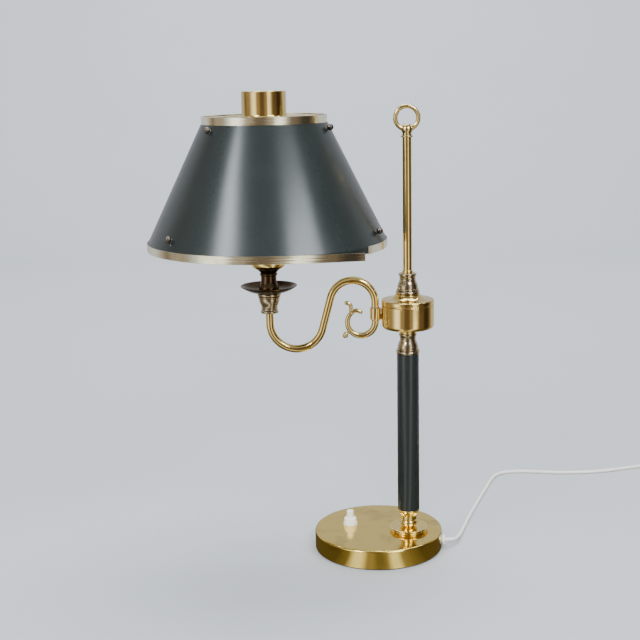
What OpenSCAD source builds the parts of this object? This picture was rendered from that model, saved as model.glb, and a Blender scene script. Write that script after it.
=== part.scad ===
// Bouillotte lamp: a round weighted base, a lacquered column, a spun drum that carries a swing arm,
// and a metal shade with a chimney over the arm's candle cup. All sizes are in millimetres.
// +Z is up, +X points away from the swing arm, and the origin is the centre of the base's underside.

/* [Base] */
// Diameter of the round base
base_d = 148.2; // [140:0.2:180]
// Height of the base above the table
base_h = 22.7; // [22:0.1:30]
// Wall of the spun brass cover
cover_wall = 1; // [0.8:0.1:1.5]
// Radius of the cover's top edge
cover_edge_r = 2.5; // [1.8:0.1:4]
// Thickness of the felt under the base
felt_t = 1.5; // [1:0.1:2.5]
// How far the felt's edge stands in from the cover's outside
felt_inset = 2; // [1:0.5:4]
// Thickness of the iron weight's disc
weight_t = 13.5; // [12:0.5:15]
// Diameter of the weight's boss under the column
weight_boss_d = 34; // [32:1:40]
// Diameter of the pocket that the switch hangs in
switch_pocket_d = 26; // [24:0.5:30]
// Width of the slot that the cord lies in
cord_slot_w = 9.5; // [9:0.5:12]
// Width of the slot's end, beside the cord's bushing
outlet_room_w = 13; // [12.5:0.5:14]
// Depth of the slot for the cord, from the weight's top
cord_slot_depth = 10.5; // [9:0.5:11]
// Width and depth of the channel for the column's lead
lead_channel = 6; // [5:0.5:7]

/* [Switch] */
// Place of the switch across the base
switch_x = -32.6; // [-40:0.2:-28]
// Place of the switch from front to back
switch_y = 11.8; // [4:0.2:16]
// Diameter of the screwed collar at the base
switch_collar_d = 16.6; // [15.5:0.1:19]
// Height of the screwed collar
switch_collar_h = 9; // [7:0.5:10]
// Diameter of the switch's threaded neck
switch_neck_d = 11; // [10.6:0.1:12]
// Diameter of the push button
button_d = 8.2; // [7:0.1:8.4]
// How far the button stands above the collar
button_rise = 8; // [6:0.2:10]
// How far the button can be pushed
button_travel = 2.5; // [1.5:0.1:3]
// Diameter of the switch's body under the cover
switch_body_d = 19; // [17:0.5:21]
// Height of the switch's body under the cover
switch_body_h = 14; // [12:0.5:16]
// Diameter of the spring's wire
spring_wire_d = 0.6; // [0.5:0.05:0.7]
// Number of the spring's turns
spring_turns = 4; // [3:1:5]

/* [Column foot] */
// Place of the column across the base
col_x = 35; // [31:0.1:38]
// Place of the column from front to back
col_y = -8.5; // [-11:0.1:-6]
// Height of the turned foot
foot_h = 25.9; // [24:0.1:32]
// Diameter of the foot's dish
foot_dish_d = 44.4; // [42.4:0.2:50]
// Diameter of the step under the dish
foot_step_d = 41.4; // [38:0.2:41.8]
// Height of the step under the dish
foot_step_h = 1.6; // [1.2:0.1:2.2]
// Height of the dish's rim above the base
foot_rim_h = 4.8; // [4.4:0.1:6]
// Diameter of the foot's neck
foot_neck_d = 13; // [12.4:0.2:16]
// Diameter of the foot's bulb
foot_bulb_d = 20.6; // [19:0.2:23]
// Height of the bulb's middle above the base
foot_bulb_up = 9.6; // [9:0.2:10.6]
// Diameter of the foot's waist over the bulb
foot_waist_d = 18.2; // [16:0.2:18.8]

/* [Column] */
// Outside diameter of the lacquered column
column_d = 25; // [23:0.5:26]
// Wall of the column's tube
column_wall = 1.2; // [0.8:0.1:1.8]
// Length of the column's tube
column_len = 185.3; // [160:0.1:230]
// Depth of the spigots that centre the column's tube
spigot_depth = 4; // [2:0.5:6]
// Diameter of the threaded tube that clamps the stem
tie_d = 10; // [9.4:0.1:10.6]
// Wall of the threaded tube
tie_wall = 1.5; // [1:0.1:1.8]
// Width of the nut across its flats
tie_nut_af = 17; // [15:0.5:18]
// Thickness of the nut
tie_nut_t = 5; // [4:0.5:5.5]
// Diameter of the washer under the weight
washer_d = 22; // [20:0.5:24]
// Thickness of the washer
washer_t = 1; // [0.8:0.1:1.2]

/* [Turned knops] */
// Height of each vase-shaped knop
knop_h = 23.5; // [21:0.5:27]
// Widest diameter of a knop, at its bead
knop_bead_d = 27; // [26:0.2:30]
// Diameter of a knop's wide end
knop_end_d = 24.2; // [23:0.2:25.4]
// Diameter of a knop's waist
knop_waist_d = 17.6; // [16.6:0.2:19]
// Diameter of a knop's rim at its narrow end
knop_rim_d = 20.2; // [19:0.2:22]

/* [Drum] */
// Diameter of the spun drum
drum_d = 59; // [55:1:68]
// Height of the drum's straight side under the lid
drum_side_h = 26; // [24:0.5:34]
// Height of the drum's coned bottom
drum_cone_h = 6.5; // [5:0.5:8]
// Radius of the drum's bottom corner
drum_corner_r = 4.5; // [3:0.1:5.5]
// Wall of the spun drum and its lid
drum_wall = 1; // [0.8:0.1:1.4]
// Height of the lid's side
lid_side_h = 6.5; // [5:0.5:8]
// Rise of the lid's coned top to its boss
lid_rise = 6; // [5:0.5:8]
// Diameter of the lid's boss
lid_boss_d = 28; // [27.4:0.2:31]
// Depth of the lid's sleeve inside the drum
lid_sleeve_h = 2; // [1:0.5:2.5]
// Diameter of the window in the threaded tube for the leads
tie_window_d = 5; // [4.4:0.1:5.6]

/* [Upper rod] */
// Outside diameter of the upper rod
rod_d = 10; // [9:0.1:10.6]
// Wall of the upper rod
rod_wall = 1; // [0.8:0.1:1.5]
// Length of the rod that shows
rod_show = 147; // [120:1:180]
// Diameter of the coupler between the threaded tube and the rod
coupler_d = 12; // [11.6:0.1:13]
// Height of the coupler that shows over the knop
coupler_show = 3.5; // [2:0.5:7]
// Depth of the thread inside the coupler on each side
coupler_grip = 7; // [5:0.5:9]

/* [Finial] */
// Outside diameter of the finial's ring
ring_d = 30; // [27:0.5:36]
// Diameter of the ring's round section
ring_wire_d = 4.9; // [4:0.1:5.6]
// Height of the ring's middle above the rod
ring_up = 20.6; // [19.5:0.1:24]
// Diameter of the finial's lip
finial_lip_d = 14; // [12.5:0.2:17]
// Thickness of the finial's lip
finial_lip_t = 1.4; // [1:0.1:2]
// Diameter of the finial's neck
finial_neck_d = 10.4; // [9.8:0.2:11.4]
// Diameter of the finial's ball
finial_ball_d = 12.8; // [12:0.2:14]
// Height of the ball's middle above the rod
finial_ball_up = 8.2; // [7.5:0.1:9]
// Diameter of the flat on the ball
finial_flat_d = 8.6; // [7:0.2:9.4]
// Depth of the finial's plug inside the rod
finial_plug_depth = 10; // [6:1:14]

/* [Hinge] */
// Distance of the hinge's axis from the column's axis
hinge_reach = 36.6; // [36.4:0.1:39]
// Height of the hinge's sleeve
sleeve_h = 14; // [12:0.5:16]
// Outside diameter of the hinge's sleeve
sleeve_d = 11.8; // [11:0.1:12.8]
// Height of the sleeve's lower end above the drum's straight side
sleeve_up = 9.5; // [6:0.5:10]
// Width of the bracket's block
block_w = 9; // [7:0.5:11]
// Height of the bracket's block
block_h = 11.6; // [10:0.2:12]
// Diameter of the bracket's hollow stud
stud_d = 7; // [6:0.2:8]
// Length of the stud inside the drum
stud_len = 7; // [5:0.5:8]
// Diameter of the channel for the lead through the bracket
stud_bore_d = 3.8; // [3.4:0.1:4.4]
// Width across the flats of the nut on the stud
stud_nut_af = 11; // [10:0.5:12]
// Thickness of the nut on the stud
stud_nut_t = 3; // [2:0.5:4]
// Thickness of the friction washer on the sleeve
hinge_washer_t = 0.6; // [0.4:0.1:1]
// Depth of the hinge pin in the arm's tube and in the scroll
pin_grip = 7; // [5:0.5:8]

/* [Arm] */
// Outside diameter of the arm's tube
arm_d = 8; // [7.6:0.1:8.6]
// Wall of the arm's tube
arm_wall = 1; // [0.8:0.1:1.4]
// Distance of the light's axis from the hinge's axis
arm_reach = 118.6; // [114:0.5:130]
// Radius of the arm's upper arch
arch_r = 25.3; // [22:0.1:28]
// Height of the arch's centre above the sleeve
arch_up = 6.2; // [4:0.2:9]
// Radius of the arm's lower bend
bend_r = 30; // [27:0.5:32]
// Depth of the bend's centre below the sleeve's lower end
bend_drop = 1.8; // [0:0.2:6]
// Height of the arm cup's lower end above the bend's centre
cup_up = 12.3; // [9:0.5:18]
// Depth of the arm's tube inside the arm cup
tube_grip = 9; // [7:0.5:10]

/* [Scroll] */
// Radius inside the scroll's round
scroll_r = 12.8; // [11:0.1:14]
// Diameter of the scroll where it leaves the hinge
scroll_d = 6.7; // [6.4:0.1:7.4]
// Diameter of the scroll at the fork of its leaves
fork_d = 4.3; // [3.6:0.1:5]
// Diameter of the leaves near their tips
leaf_d = 4; // [3.4:0.1:4.6]
// Radius of the upper leaf's curl
curl_r = 4.8; // [4:0.1:6]
// Diameter of the drop at the end of the spur
drop_d = 5.6; // [4.8:0.1:6.4]

/* [Pan and candle cup] */
// Diameter of the drip pan
pan_d = 64; // [56:1:72]
// Height of the drip pan
pan_h = 7.8; // [6:0.2:10]
// Thickness of the drip pan
pan_t = 1; // [0.8:0.1:1.4]
// Diameter of the pan's flat bottom
pan_flat_d = 26; // [25:0.5:30]
// Height of the candle cup
candle_h = 26; // [24:0.5:32]
// Diameter of the candle cup's foot
candle_foot_d = 23.6; // [22:0.2:24.6]
// Diameter of the candle cup's waist
candle_waist_d = 17.5; // [15:0.2:18.5]
// Diameter of the candle cup's bead
candle_bead_d = 20.2; // [19:0.2:21]
// Diameter of the candle cup's top
candle_top_d = 27.6; // [24:0.2:29]

/* [Lamp holder] */
// Diameter of the threaded tube under the lamp holder
nipple_d = 10; // [9.4:0.1:10.6]
// Wall of the threaded tube under the lamp holder
nipple_wall = 1.5; // [1:0.1:1.8]
// Outside diameter of the lamp holder
holder_d = 39; // [38:0.2:41]
// Height of the lamp holder's domed cap
holder_cap_h = 16; // [14:0.5:20]
// Height of the lamp holder's shell above its cap
holder_shell_h = 32; // [30:0.5:38]
// Wall of the lamp holder
holder_wall = 0.9; // [0.7:0.1:1.2]
// Diameter of the ceramic insert
insert_d = 35; // [32:0.5:36]
// Height of the ceramic insert
insert_h = 16; // [14:0.5:19]
// Inside diameter of the lamp holder's screw shell
screw_shell_d = 26.8; // [26.7:0.1:27.4]
// Wall of the screw shell
screw_shell_wall = 0.4; // [0.3:0.1:0.6]
// Outside diameter of the shade rings
shade_ring_d = 54; // [50:1:60]
// Thickness of each shade ring
shade_ring_t = 3; // [2:0.5:4]

/* [Bulb] */
// Diameter of the bulb's glass
bulb_d = 60; // [45:1:62]
// Diameter of the bulb's screw cap
bulb_cap_d = 26.4; // [26.2:0.1:26.5]
// Length of the bulb's screw cap
bulb_cap_h = 25; // [23:0.5:27]
// Height of the glass above the cap
bulb_glass_h = 80; // [66:1:86]
// Wall of the bulb's glass
bulb_wall = 1; // [0.6:0.1:1.4]

/* [Shade] */
// Diameter of the shade's sheet at its lower edge
shade_d = 264; // [246:1:266]
// Diameter of the shade's sheet at its upper edge
shade_top_d = 128; // [120:1:150]
// Height of the shade's sheet
shade_h = 141.6; // [130:0.2:160]
// Height of the sheet's upright edge, inside the lower band
shade_edge_h = 6.4; // [5:0.2:7]
// Thickness of the shade's sheet
shade_t = 0.6; // [0.5:0.1:1.2]
// Height of the shade's lower edge above the candle cup
shade_up = 25.6; // [20:0.2:27]
// Height of the lower trim band
low_band_h = 8.4; // [7:0.2:12]
// Height of the upper trim band
top_band_h = 8.4; // [6:0.2:10]
// Thickness of the trim bands
band_t = 0.7; // [0.5:0.1:1]
// Arc where the lower band has come loose, in degrees
loose_arc = 50; // [20:1:60]
// How far the loose end hangs down
loose_drop = 6; // [1:0.5:8]
// Gap between the lower band's ends, in degrees
band_gap = 3; // [1:0.5:6]
// Angle from the front, to the right, where the lower band ends
band_end_at = 52; // [45:1:60]

/* [Shade knobs] */
// Diameter of the ball-headed knobs
knob_d = 7.2; // [6:0.2:8]
// Diameter of the knobs' screws
knob_screw_d = 3; // [2.5:0.1:3.5]
// Length of the knobs' screws inside the shade
knob_screw_len = 6; // [5:0.5:8]
// Height of the lower knobs above the shade's lower edge
low_knob_up = 18; // [15:0.5:22]
// Depth of the upper knobs below the shade's upper edge
top_knob_down = 13.7; // [12:0.1:18]
// Angle of the first knob from the front, to the right
knob_at = 70; // [64:1:76]
// Width across the flats of the knobs' nuts
knob_nut_af = 5.5; // [5:0.1:6.5]
// Thickness of the knobs' nuts
knob_nut_t = 2.4; // [1.8:0.1:3]

/* [Chimney and frame] */
// Diameter of the chimney
chimney_d = 48.6; // [44:0.5:56]
// Height of the chimney above the top plate
chimney_h = 27.5; // [20:0.5:40]
// Wall of the chimney
chimney_wall = 0.9; // [0.7:0.1:1.4]
// Width of the flare at the chimney's foot
chimney_flare = 2.4; // [1.5:0.1:4]
// Thickness of the top plate
plate_t = 1; // [0.8:0.1:1.6]
// Depth of the top plate below the shade's upper edge
plate_down = 0.7; // [0.5:0.1:3]
// Height of the top plate's turned-down rim
plate_rim_h = 20; // [19:0.5:24]
// Width of the frame's flat bars
bar_w = 9; // [7:0.5:12]
// Thickness of the frame's flat bars
bar_t = 1.5; // [1:0.1:2]
// Length of the tabs that hold the frame to the shade
tab_len = 14; // [12:0.5:16]

/* [Wiring] */
// Diameter of the supply cord
cord_d = 4.2; // [4:0.1:5]
// Angle of the cord's outlet round the base
cord_at = -6; // [-8:1:-4]
// Height of the cord's outlet above the table
cord_up = 8.9; // [8.5:0.1:9.5]
// Outside diameter of the cord's bushing
bushing_d = 11.6; // [10:0.2:13]
// How far the bushing stands out of the base
bushing_t = 2.6; // [2:0.1:3.4]
// Diameter of the bushing's neck in the cover
bushing_neck_d = 7.6; // [7:0.2:8.4]
// Diameter of the leads in the stem and the arm
lead_d = 3; // [2.4:0.1:3.3]
// Length of each wire splice in the drum
splice_len = 11; // [9:0.5:13]
// Diameter of each wire splice
splice_d = 5; // [4.4:0.1:5.6]
// Length of the cord clamp's bar
clamp_len = 24; // [22:0.5:28]
// Width of the cord clamp's bar
clamp_w = 8; // [7:0.5:10]
// Thickness of the cord clamp's bar
clamp_t = 2.5; // [2:0.1:3]
// Diameter of the clamp's screws
clamp_screw_d = 3; // [2.5:0.1:3.5]
// Depth of the clamp's screws in the weight
clamp_screw_grip = 5; // [3:0.5:6]

/* [Plug] */
// Length of the plug's body
plug_len = 34; // [30:1:38]
// Width of the plug's body
plug_w = 25; // [22:1:27]
// Thickness of the plug's body
plug_t = 13.6; // [12:0.2:14]
// Length of the plug's tapered strain relief
relief_len = 26; // [20:1:32]
// Diameter of the plug's pins
pin_d = 4; // [3.8:0.1:4.2]
// Length of the plug's pins
pin_len = 19; // [17:0.5:20]
// Distance between the plug's pins
pin_gap = 18.6; // [17.5:0.1:19.2]

/* [Clearances] */
// Slip fit between a hole's wall and what passes through it
slip_gap = 0.1; // [0.05:0.05:0.2]
// Running gap round the hinge pin and the push button
run_gap = 0.05; // [0.03:0.01:0.09]
// Gap between faces of the arm and the stem
swing_gap = 0.3; // [0.2:0.05:0.4]

/* [Hidden] */

ROUND = 96;          // facets of large round shapes in the preview
FINE = 48;           // facets of small round shapes in the preview
HEX = 6;             // sides of a nut
NUDGE = 1;           // how far a cutting tool runs past the face that it cuts

BRASS = "#c9a24a";
GOLD = "#d9a93a";
ANTIQUE = "#8c7a52";
BRONZE = "#4a3524";
GREEN = "#24332f";
IVORY = "#efe9da";
STEEL = "#8d9095";
IRON = "#4b4b4d";
SILVERED = "#c3bb95";

// Heights up the stem
weight_top = felt_t + weight_t;
cover_under = base_h - cover_wall;
column_z0 = base_h + foot_h;
column_z1 = column_z0 + column_len;
drum_z0 = column_z1 + knop_h;
side_z0 = drum_z0 + drum_cone_h;
lid_z0 = side_z0 + drum_side_h;
lid_z1 = lid_z0 + lid_side_h;
boss_z = lid_z1 + lid_rise;
knop_top_z = boss_z + knop_h;
coupler_z1 = knop_top_z + coupler_show;
coupler_z0 = coupler_z1 - 2 * coupler_grip;
tie_z1 = coupler_z1 - coupler_grip;
rod_z1 = coupler_z1 + rod_show;
ring_z = rod_z1 + ring_up;

// Radii that several pieces share
cover_in_r = base_d / 2 - cover_wall;
bore_r = tie_d / 2 + slip_gap;
column_in_r = column_d / 2 - column_wall;
spigot_r = column_in_r - slip_gap;
drum_r = drum_d / 2;
drum_in_r = drum_r - drum_wall;
rod_in_r = rod_d / 2 - rod_wall;

// The clamped end of the threaded tube, in a recess under the weight
recess_r = washer_d / 2 + NUDGE;
nut_room = 3.5;
nut_z = felt_t + nut_room;
washer_z = nut_z + tie_nut_t;
recess_top = washer_z + washer_t;
tie_z0 = felt_t + lead_d + 0.4;

// The switch
collar_top_z = base_h + switch_collar_h;
button_top_z = collar_top_z + button_rise;
switch_z0 = cover_under - switch_body_h;
button_r = button_d / 2;
button_bore_r = button_r + run_gap;
button_flange_r = button_r + 0.7;
button_flange_t = 1.6;
flange_room_r = button_flange_r + run_gap;
flange_z = cover_under - 3;
spring_floor = switch_z0 + 4;
spring_r = button_r - spring_wire_d / 2 - 0.6;
spring_rings = 16;
neck_top_z = collar_top_z - 1.5;

// The hinge
hinge_x = col_x - hinge_reach;
sleeve_z0 = side_z0 + sleeve_up;
sleeve_z1 = sleeve_z0 + sleeve_h;
block_z = sleeve_z0 + sleeve_h / 2;
arm_in_r = arm_d / 2 - arm_wall;
pin_r = arm_in_r;
pin_bore_r = lead_d / 2 + 0.35;
sleeve_bore_r = pin_r + run_gap;
washer_z1 = sleeve_z1 + hinge_washer_t;
arm_z0 = washer_z1 + swing_gap;
scroll_top_z = sleeve_z0 - swing_gap;
stud_x0 = -(drum_in_r - stud_len);
block_x0 = -hinge_reach;

// The arm's centreline, in a plane through the hinge's axis: x from the hinge and z
arch_c = [-arch_r, sleeve_z1 + arch_up];
bend_c = [-arm_reach + bend_r, sleeve_z0 - bend_drop];
centres = bend_c - arch_c;
leg_dir = 360 + atan2(centres[1], centres[0]) + asin((arch_r + bend_r) / norm(centres));
arch_end = leg_dir - 90;
bend_start = leg_dir - 270;
leg_top = arch_c + arch_r * [cos(arch_end), sin(arch_end)];
leg_foot = bend_c + bend_r * [cos(bend_start), sin(bend_start)];
cup_z0 = bend_c[1] + cup_up;
cup_z1 = cup_z0 + knop_h;
tube_end_z = cup_z0 + tube_grip;

// The candle cup and the lamp holder
light_x = hinge_x - arm_reach;
candle_z0 = cup_z1 + pan_t;
candle_z1 = candle_z0 + candle_h;
cap_z1 = candle_z1 + holder_cap_h;
shell_z1 = cap_z1 + holder_shell_h;
holder_r = holder_d / 2;
insert_z0 = candle_z1 + 6;
insert_z1 = insert_z0 + insert_h;
nipple_z1 = candle_z1 + 4.5;
screw_in_r = screw_shell_d / 2;
bulb_z0 = insert_z1 + 2.6;
bulb_cap_z1 = bulb_z0 + bulb_cap_h;

// The shade
shade_z0 = candle_z1 + shade_up;
shade_z1 = shade_z0 + shade_h;
slope = (shade_d - shade_top_d) / 2 / (shade_h - shade_edge_h);
lean = atan(slope);
plate_z1 = shade_z1 - plate_down;
plate_z0 = plate_z1 - plate_t;
low_knob_z = shade_z0 + low_knob_up;
top_knob_z = shade_z1 - top_knob_down;
knob_turns = [knob_at, knob_at + 120, knob_at + 240];
low_seat = shade_t + 2 * slip_gap + bar_t;
nut_low_z = low_knob_z - (low_seat + knob_nut_t) * sin(lean) - knob_nut_af / 2 / cos(30) * cos(lean);
frame_z = nut_low_z - bar_t * 1.3;
frame_ring_r = holder_r + slip_gap;
band_lip = 2.4;
low_band_z = shade_z0 - slip_gap - band_t;
top_band_z = shade_z1 + 1.2;

// The outlet of the cord, and the base's own wiring
outlet_dir = [cos(cord_at), sin(cord_at), 0];
outlet = (base_d / 2) * outlet_dir + [0, 0, cord_up];
knee = [outlet[0] - 13, col_y + weight_boss_d / 2 + cord_slot_w / 2 + 10 * slip_gap];
exit_dir = [outlet[0], outlet[1]] - knee;
slot_dir = knee - [switch_x, switch_y];
slot_turn = atan2(slot_dir[1], slot_dir[0]);
slot_unit = slot_dir / norm(slot_dir);
to_boss = [col_x - switch_x, col_y - switch_y];
boss_aside = abs(slot_unit[0] * to_boss[1] - slot_unit[1] * to_boss[0]) - clamp_len / 2;
boss_room = weight_boss_d / 2 + 10 * slip_gap;
clamp_at = to_boss * slot_unit + boss_room * cos(asin(boss_aside / boss_room)) + clamp_w / 2;
clamp_c = [switch_x, switch_y] + clamp_at * slot_unit;
clamp_cord_z = weight_top - cord_d / 2 - slip_gap;
channel_turn = atan2(col_y - switch_y, col_x - switch_x);

// The free cord lies on the table: its route from the outlet to the coil, chosen by hand
route = [
    [70.7, -7.4, 8.9], [77.2, -8.1, 9], [81.5, -8, 8.8], [86, -6, 8], [90, -1, 6.6], [93.5, 7, 5],
    [97, 17, 3.6], [100.5, 28, 2.6], [104, 40, 2.1], [108.5, 54, 2.1], [113, 69, 2.1], [118, 84, 2.1],
    [123, 99, 2.1], [128.5, 115, 2.1], [134, 131, 2.1], [140, 148, 2.1], [146, 165, 2.1], [152, 182, 2.1],
    [158, 199, 2.1], [164, 215, 2.1], [171, 230, 2.1], [181, 241, 2.1], [194, 246, 2.1], [209, 247, 2.1],
    [225, 245, 2.1], [242, 242, 2.1], [260, 239, 2.1], [278, 238, 2.1], [296, 238.5, 2.1], [314, 240.5, 2.1],
    [332, 244.5, 2.1], [350, 250, 2.1], [368, 256, 2.1], [386, 261.3, 2.1], [401, 264.7, 2.1],
    [415.1, 266.2, 2.1]
];
coil_x = 418;
coil_y = 233;
coil_turn_r = 25;
coil_half_w = 2 * cord_d;
plug_y1 = coil_y - 2 * cord_d;

// ---- Shared shapes ----

// Points on an arc from angle a0 to angle a1
function arc(c, r, a0, a1, n = 10) =
    [for (i = [0:n]) let (a = a0 + (a1 - a0) * i / n) [c[0] + r * cos(a), c[1] + r * sin(a)]];

// Points on a smooth S-curve from a to b, upright at both ends
function ogee(a, b, n = 10) =
    [for (i = [0:n]) [a[0] + (b[0] - a[0]) * (1 - cos(180 * i / n)) / 2, a[1] + (b[1] - a[1]) * i / n]];

// Points on a half-round bead between the heights z0 and z1 that stands out to radius r
function bead(base_r, r, z0, z1, n = 8) =
    [for (i = [0:n])
        [base_r + (r - base_r) * sin(180 * i / n), z0 + (z1 - z0) * (1 - cos(180 * i / n)) / 2]];

function unit(v) = v / norm(v);

function headings(p) =
    [for (i = [0:len(p) - 1]) unit(p[min(i + 1, len(p) - 1)] - p[max(i - 1, 0)])];

// A point on a smooth curve through the points p, t between the points i and i + 1
function through(p, i, t) =
    let (a = p[max(i - 1, 0)], b = p[i], c = p[i + 1], d = p[min(i + 2, len(p) - 1)])
    0.5 * (2 * b + (c - a) * t + (2 * a - 5 * b + 4 * c - d) * t * t + (3 * b - a - 3 * c + d) * t * t * t);

// The points p with n stretches between each pair of them
function smooth(p, n) =
    concat([for (i = [0:len(p) - 2]) for (k = [0:n - 1]) through(p, i, k / n)], [p[len(p) - 1]]);

// The radius at each point of a curve that tapers from r0 to r1 and has a round tip
function tapered(p, r0, r1) =
    let (n = len(p) - 1)
    [for (i = [0:n]) (r0 + (r1 - r0) * i / n)
        * (i == n ? 0.35 : i == n - 1 ? 0.75 : i == n - 2 ? 0.94 : 1)];

// A round bar along the points p, with the radius r[i] at the point i; side is never along the path
module sweep(p, r, side, sides) {
    heads = headings(p);
    rows = len(p);
    points = [for (i = [0:rows - 1])
        let (a = unit(cross(side, heads[i])), b = cross(heads[i], a))
        for (k = [0:sides - 1]) p[i] + r[i] * (cos(360 * k / sides) * a + sin(360 * k / sides) * b)];
    walls = [for (i = [0:rows - 2]) for (k = [0:sides - 1])
        let (j = (k + 1) % sides, q = i * sides)
        for (f = [[q + k, q + sides + k, q + sides + j], [q + k, q + sides + j, q + j]]) f];
    ends = [
        [for (k = [0:sides - 1]) k],
        [for (k = [sides - 1:-1:0]) (rows - 1) * sides + k]
    ];
    polyhedron(points = points, faces = concat(walls, ends), convexity = 8);
}

module even_sweep(p, d, side, sides) {
    sweep(p, [for (q = p) d / 2], side, sides);
}

module turned(points) {
    rotate_extrude($fn = ROUND) polygon(points);
}

module at_column() {
    translate([col_x, col_y, 0]) children();
}

module at_hinge() {
    translate([hinge_x, col_y, 0]) children();
}

module at_light() {
    translate([light_x, col_y, 0]) children();
}

module at_switch() {
    translate([switch_x, switch_y, 0]) children();
}

module hollow_tube(d, wall, z0, z1) {
    translate([0, 0, z0]) difference() {
        cylinder(d = d, h = z1 - z0, $fn = FINE);
        translate([0, 0, -NUDGE]) cylinder(r = d / 2 - wall, h = z1 - z0 + 2 * NUDGE, $fn = FINE);
    }
}

// A hexagon nut round the Z axis from the height 0 to t
module hex_nut(af, t, hole_r) {
    difference() {
        cylinder(d = af / cos(30), h = t, $fn = HEX);
        translate([0, 0, -NUDGE]) cylinder(r = hole_r, h = t + 2 * NUDGE, $fn = FINE);
    }
}

// ---- Base ----

module base_cover() {
    edge_c = [base_d / 2 - cover_edge_r, base_h - cover_edge_r];
    color(BRASS) difference() {
        turned(concat(
            [[cover_in_r, felt_t], [base_d / 2, felt_t]],
            arc(edge_c, cover_edge_r, 0, 90),
            [[0, base_h], [0, cover_under]],
            arc(edge_c, cover_edge_r - cover_wall, 90, 0)
        ));
        at_column() translate([0, 0, felt_t]) cylinder(r = bore_r, h = base_h, $fn = FINE);
        at_switch() translate([0, 0, felt_t])
            cylinder(r = switch_neck_d / 2 + slip_gap, h = base_h, $fn = FINE);
        translate([0, 0, cord_up]) rotate([0, 0, cord_at]) rotate([0, 90, 0])
            translate([0, 0, base_d / 4])
                cylinder(r = bushing_neck_d / 2 + slip_gap, h = base_d / 2, $fn = FINE);
    }
}

module base_weight() {
    weight_r = cover_in_r - slip_gap;
    slot_len = norm(slot_dir);
    channel_len = norm([col_x - switch_x, col_y - switch_y]);
    color(IRON) difference() {
        union() {
            translate([0, 0, felt_t]) cylinder(r = weight_r, h = weight_t, $fn = ROUND);
            at_column() translate([0, 0, felt_t])
                cylinder(d = weight_boss_d, h = cover_under - felt_t, $fn = FINE);
        }
        at_column() translate([0, 0, felt_t - NUDGE]) {
            cylinder(r = bore_r, h = base_h, $fn = FINE);
            cylinder(r = recess_r, h = recess_top - felt_t + NUDGE, $fn = FINE);
        }
        at_switch() translate([0, 0, felt_t - NUDGE])
            cylinder(d = switch_pocket_d, h = base_h, $fn = FINE);
        at_switch() rotate([0, 0, slot_turn])
            translate([0, -cord_slot_w / 2, weight_top - cord_slot_depth])
                cube([slot_len + 3, cord_slot_w, cord_slot_depth + NUDGE]);
        translate([knee[0], knee[1], weight_top - cord_slot_depth])
            rotate([0, 0, atan2(exit_dir[1], exit_dir[0])]) translate([-4, -outlet_room_w / 2, -0.5])
                cube([norm(exit_dir) + bushing_neck_d, outlet_room_w, cord_slot_depth + NUDGE]);
        at_switch() rotate([0, 0, channel_turn])
            translate([0, -lead_channel / 2, felt_t - NUDGE])
                cube([channel_len, lead_channel, lead_channel + NUDGE]);
        at_clamp_screws() translate([0, 0, -clamp_screw_grip - NUDGE])
            cylinder(d = clamp_screw_d, h = clamp_screw_grip + 2 * NUDGE, $fn = 24);
    }
}

module felt_pad() {
    color("#2c2f2c") cylinder(r = base_d / 2 - felt_inset, h = felt_t, $fn = ROUND);
}

// ---- Switch ----

module switch_body() {
    body_r = switch_body_d / 2;
    color(IVORY) at_switch() turned([
        [0, switch_z0], [body_r, switch_z0], [body_r, cover_under],
        [switch_neck_d / 2, cover_under], [switch_neck_d / 2, neck_top_z],
        [button_bore_r, neck_top_z], [button_bore_r, flange_z],
        [flange_room_r, flange_z], [flange_room_r, spring_floor],
        [0, spring_floor]
    ]);
}

module switch_collar() {
    neck_r = switch_neck_d / 2 + slip_gap;
    rim_r = switch_collar_d / 2;
    top_r = button_bore_r + 1.5;
    color(IVORY) at_switch() turned(concat(
        [[neck_r, base_h], [rim_r, base_h], [rim_r, base_h + 1.2]],
        ogee([rim_r - 0.3, base_h + 1.8], [rim_r - 1.3, collar_top_z - 2], 5),
        arc([top_r, collar_top_z - 1.6], 1.6, 20, 90, 5),
        [[button_bore_r, collar_top_z], [button_bore_r, neck_top_z + slip_gap]],
        [[neck_r, neck_top_z + slip_gap]]
    ));
}

module switch_button() {
    edge = 0.8;
    color(IVORY) at_switch() turned(concat(
        [[0, flange_z - button_flange_t - slip_gap]],
        [[button_flange_r, flange_z - button_flange_t - slip_gap]],
        [[button_flange_r, flange_z - slip_gap], [button_r, flange_z - slip_gap]],
        arc([button_r - edge, button_top_z - edge], edge, 0, 90, 5),
        [[0, button_top_z]]
    ));
}

module switch_spring() {
    z0 = spring_floor + spring_wire_d / 2 + 0.05;
    z1 = flange_z - button_flange_t - slip_gap - spring_wire_d / 2 - 0.05;
    steps = spring_turns * spring_rings;
    helix = [for (i = [0:steps])
        let (a = 360 * i / spring_rings) [spring_r * cos(a), spring_r * sin(a), z0 + (z1 - z0) * i / steps]];
    color(STEEL) at_switch() even_sweep(helix, spring_wire_d, [0, 0, 1], 6);
}

// ---- Cord outlet and the base's wiring ----

module at_outlet() {
    rotate([0, 0, cord_at]) translate([base_d / 2, 0, cord_up]) rotate([0, 90, 0]) children();
}

module cord_bushing() {
    flange_r = bushing_d / 2;
    neck_r = bushing_neck_d / 2;
    bore = cord_d / 2 + slip_gap;
    inner_t = 2;
    stand = 1;
    edge = 1;
    color(IVORY) at_outlet() turned(concat(
        [[bore, -cover_wall - inner_t], [neck_r, -cover_wall - inner_t]],
        [[neck_r, stand], [flange_r - 0.4, stand]],
        [[flange_r, stand + 0.4]],
        arc([flange_r - edge, bushing_t + stand - edge], edge, 0, 90, 5),
        [[bore, bushing_t + stand]]
    ));
}

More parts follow.
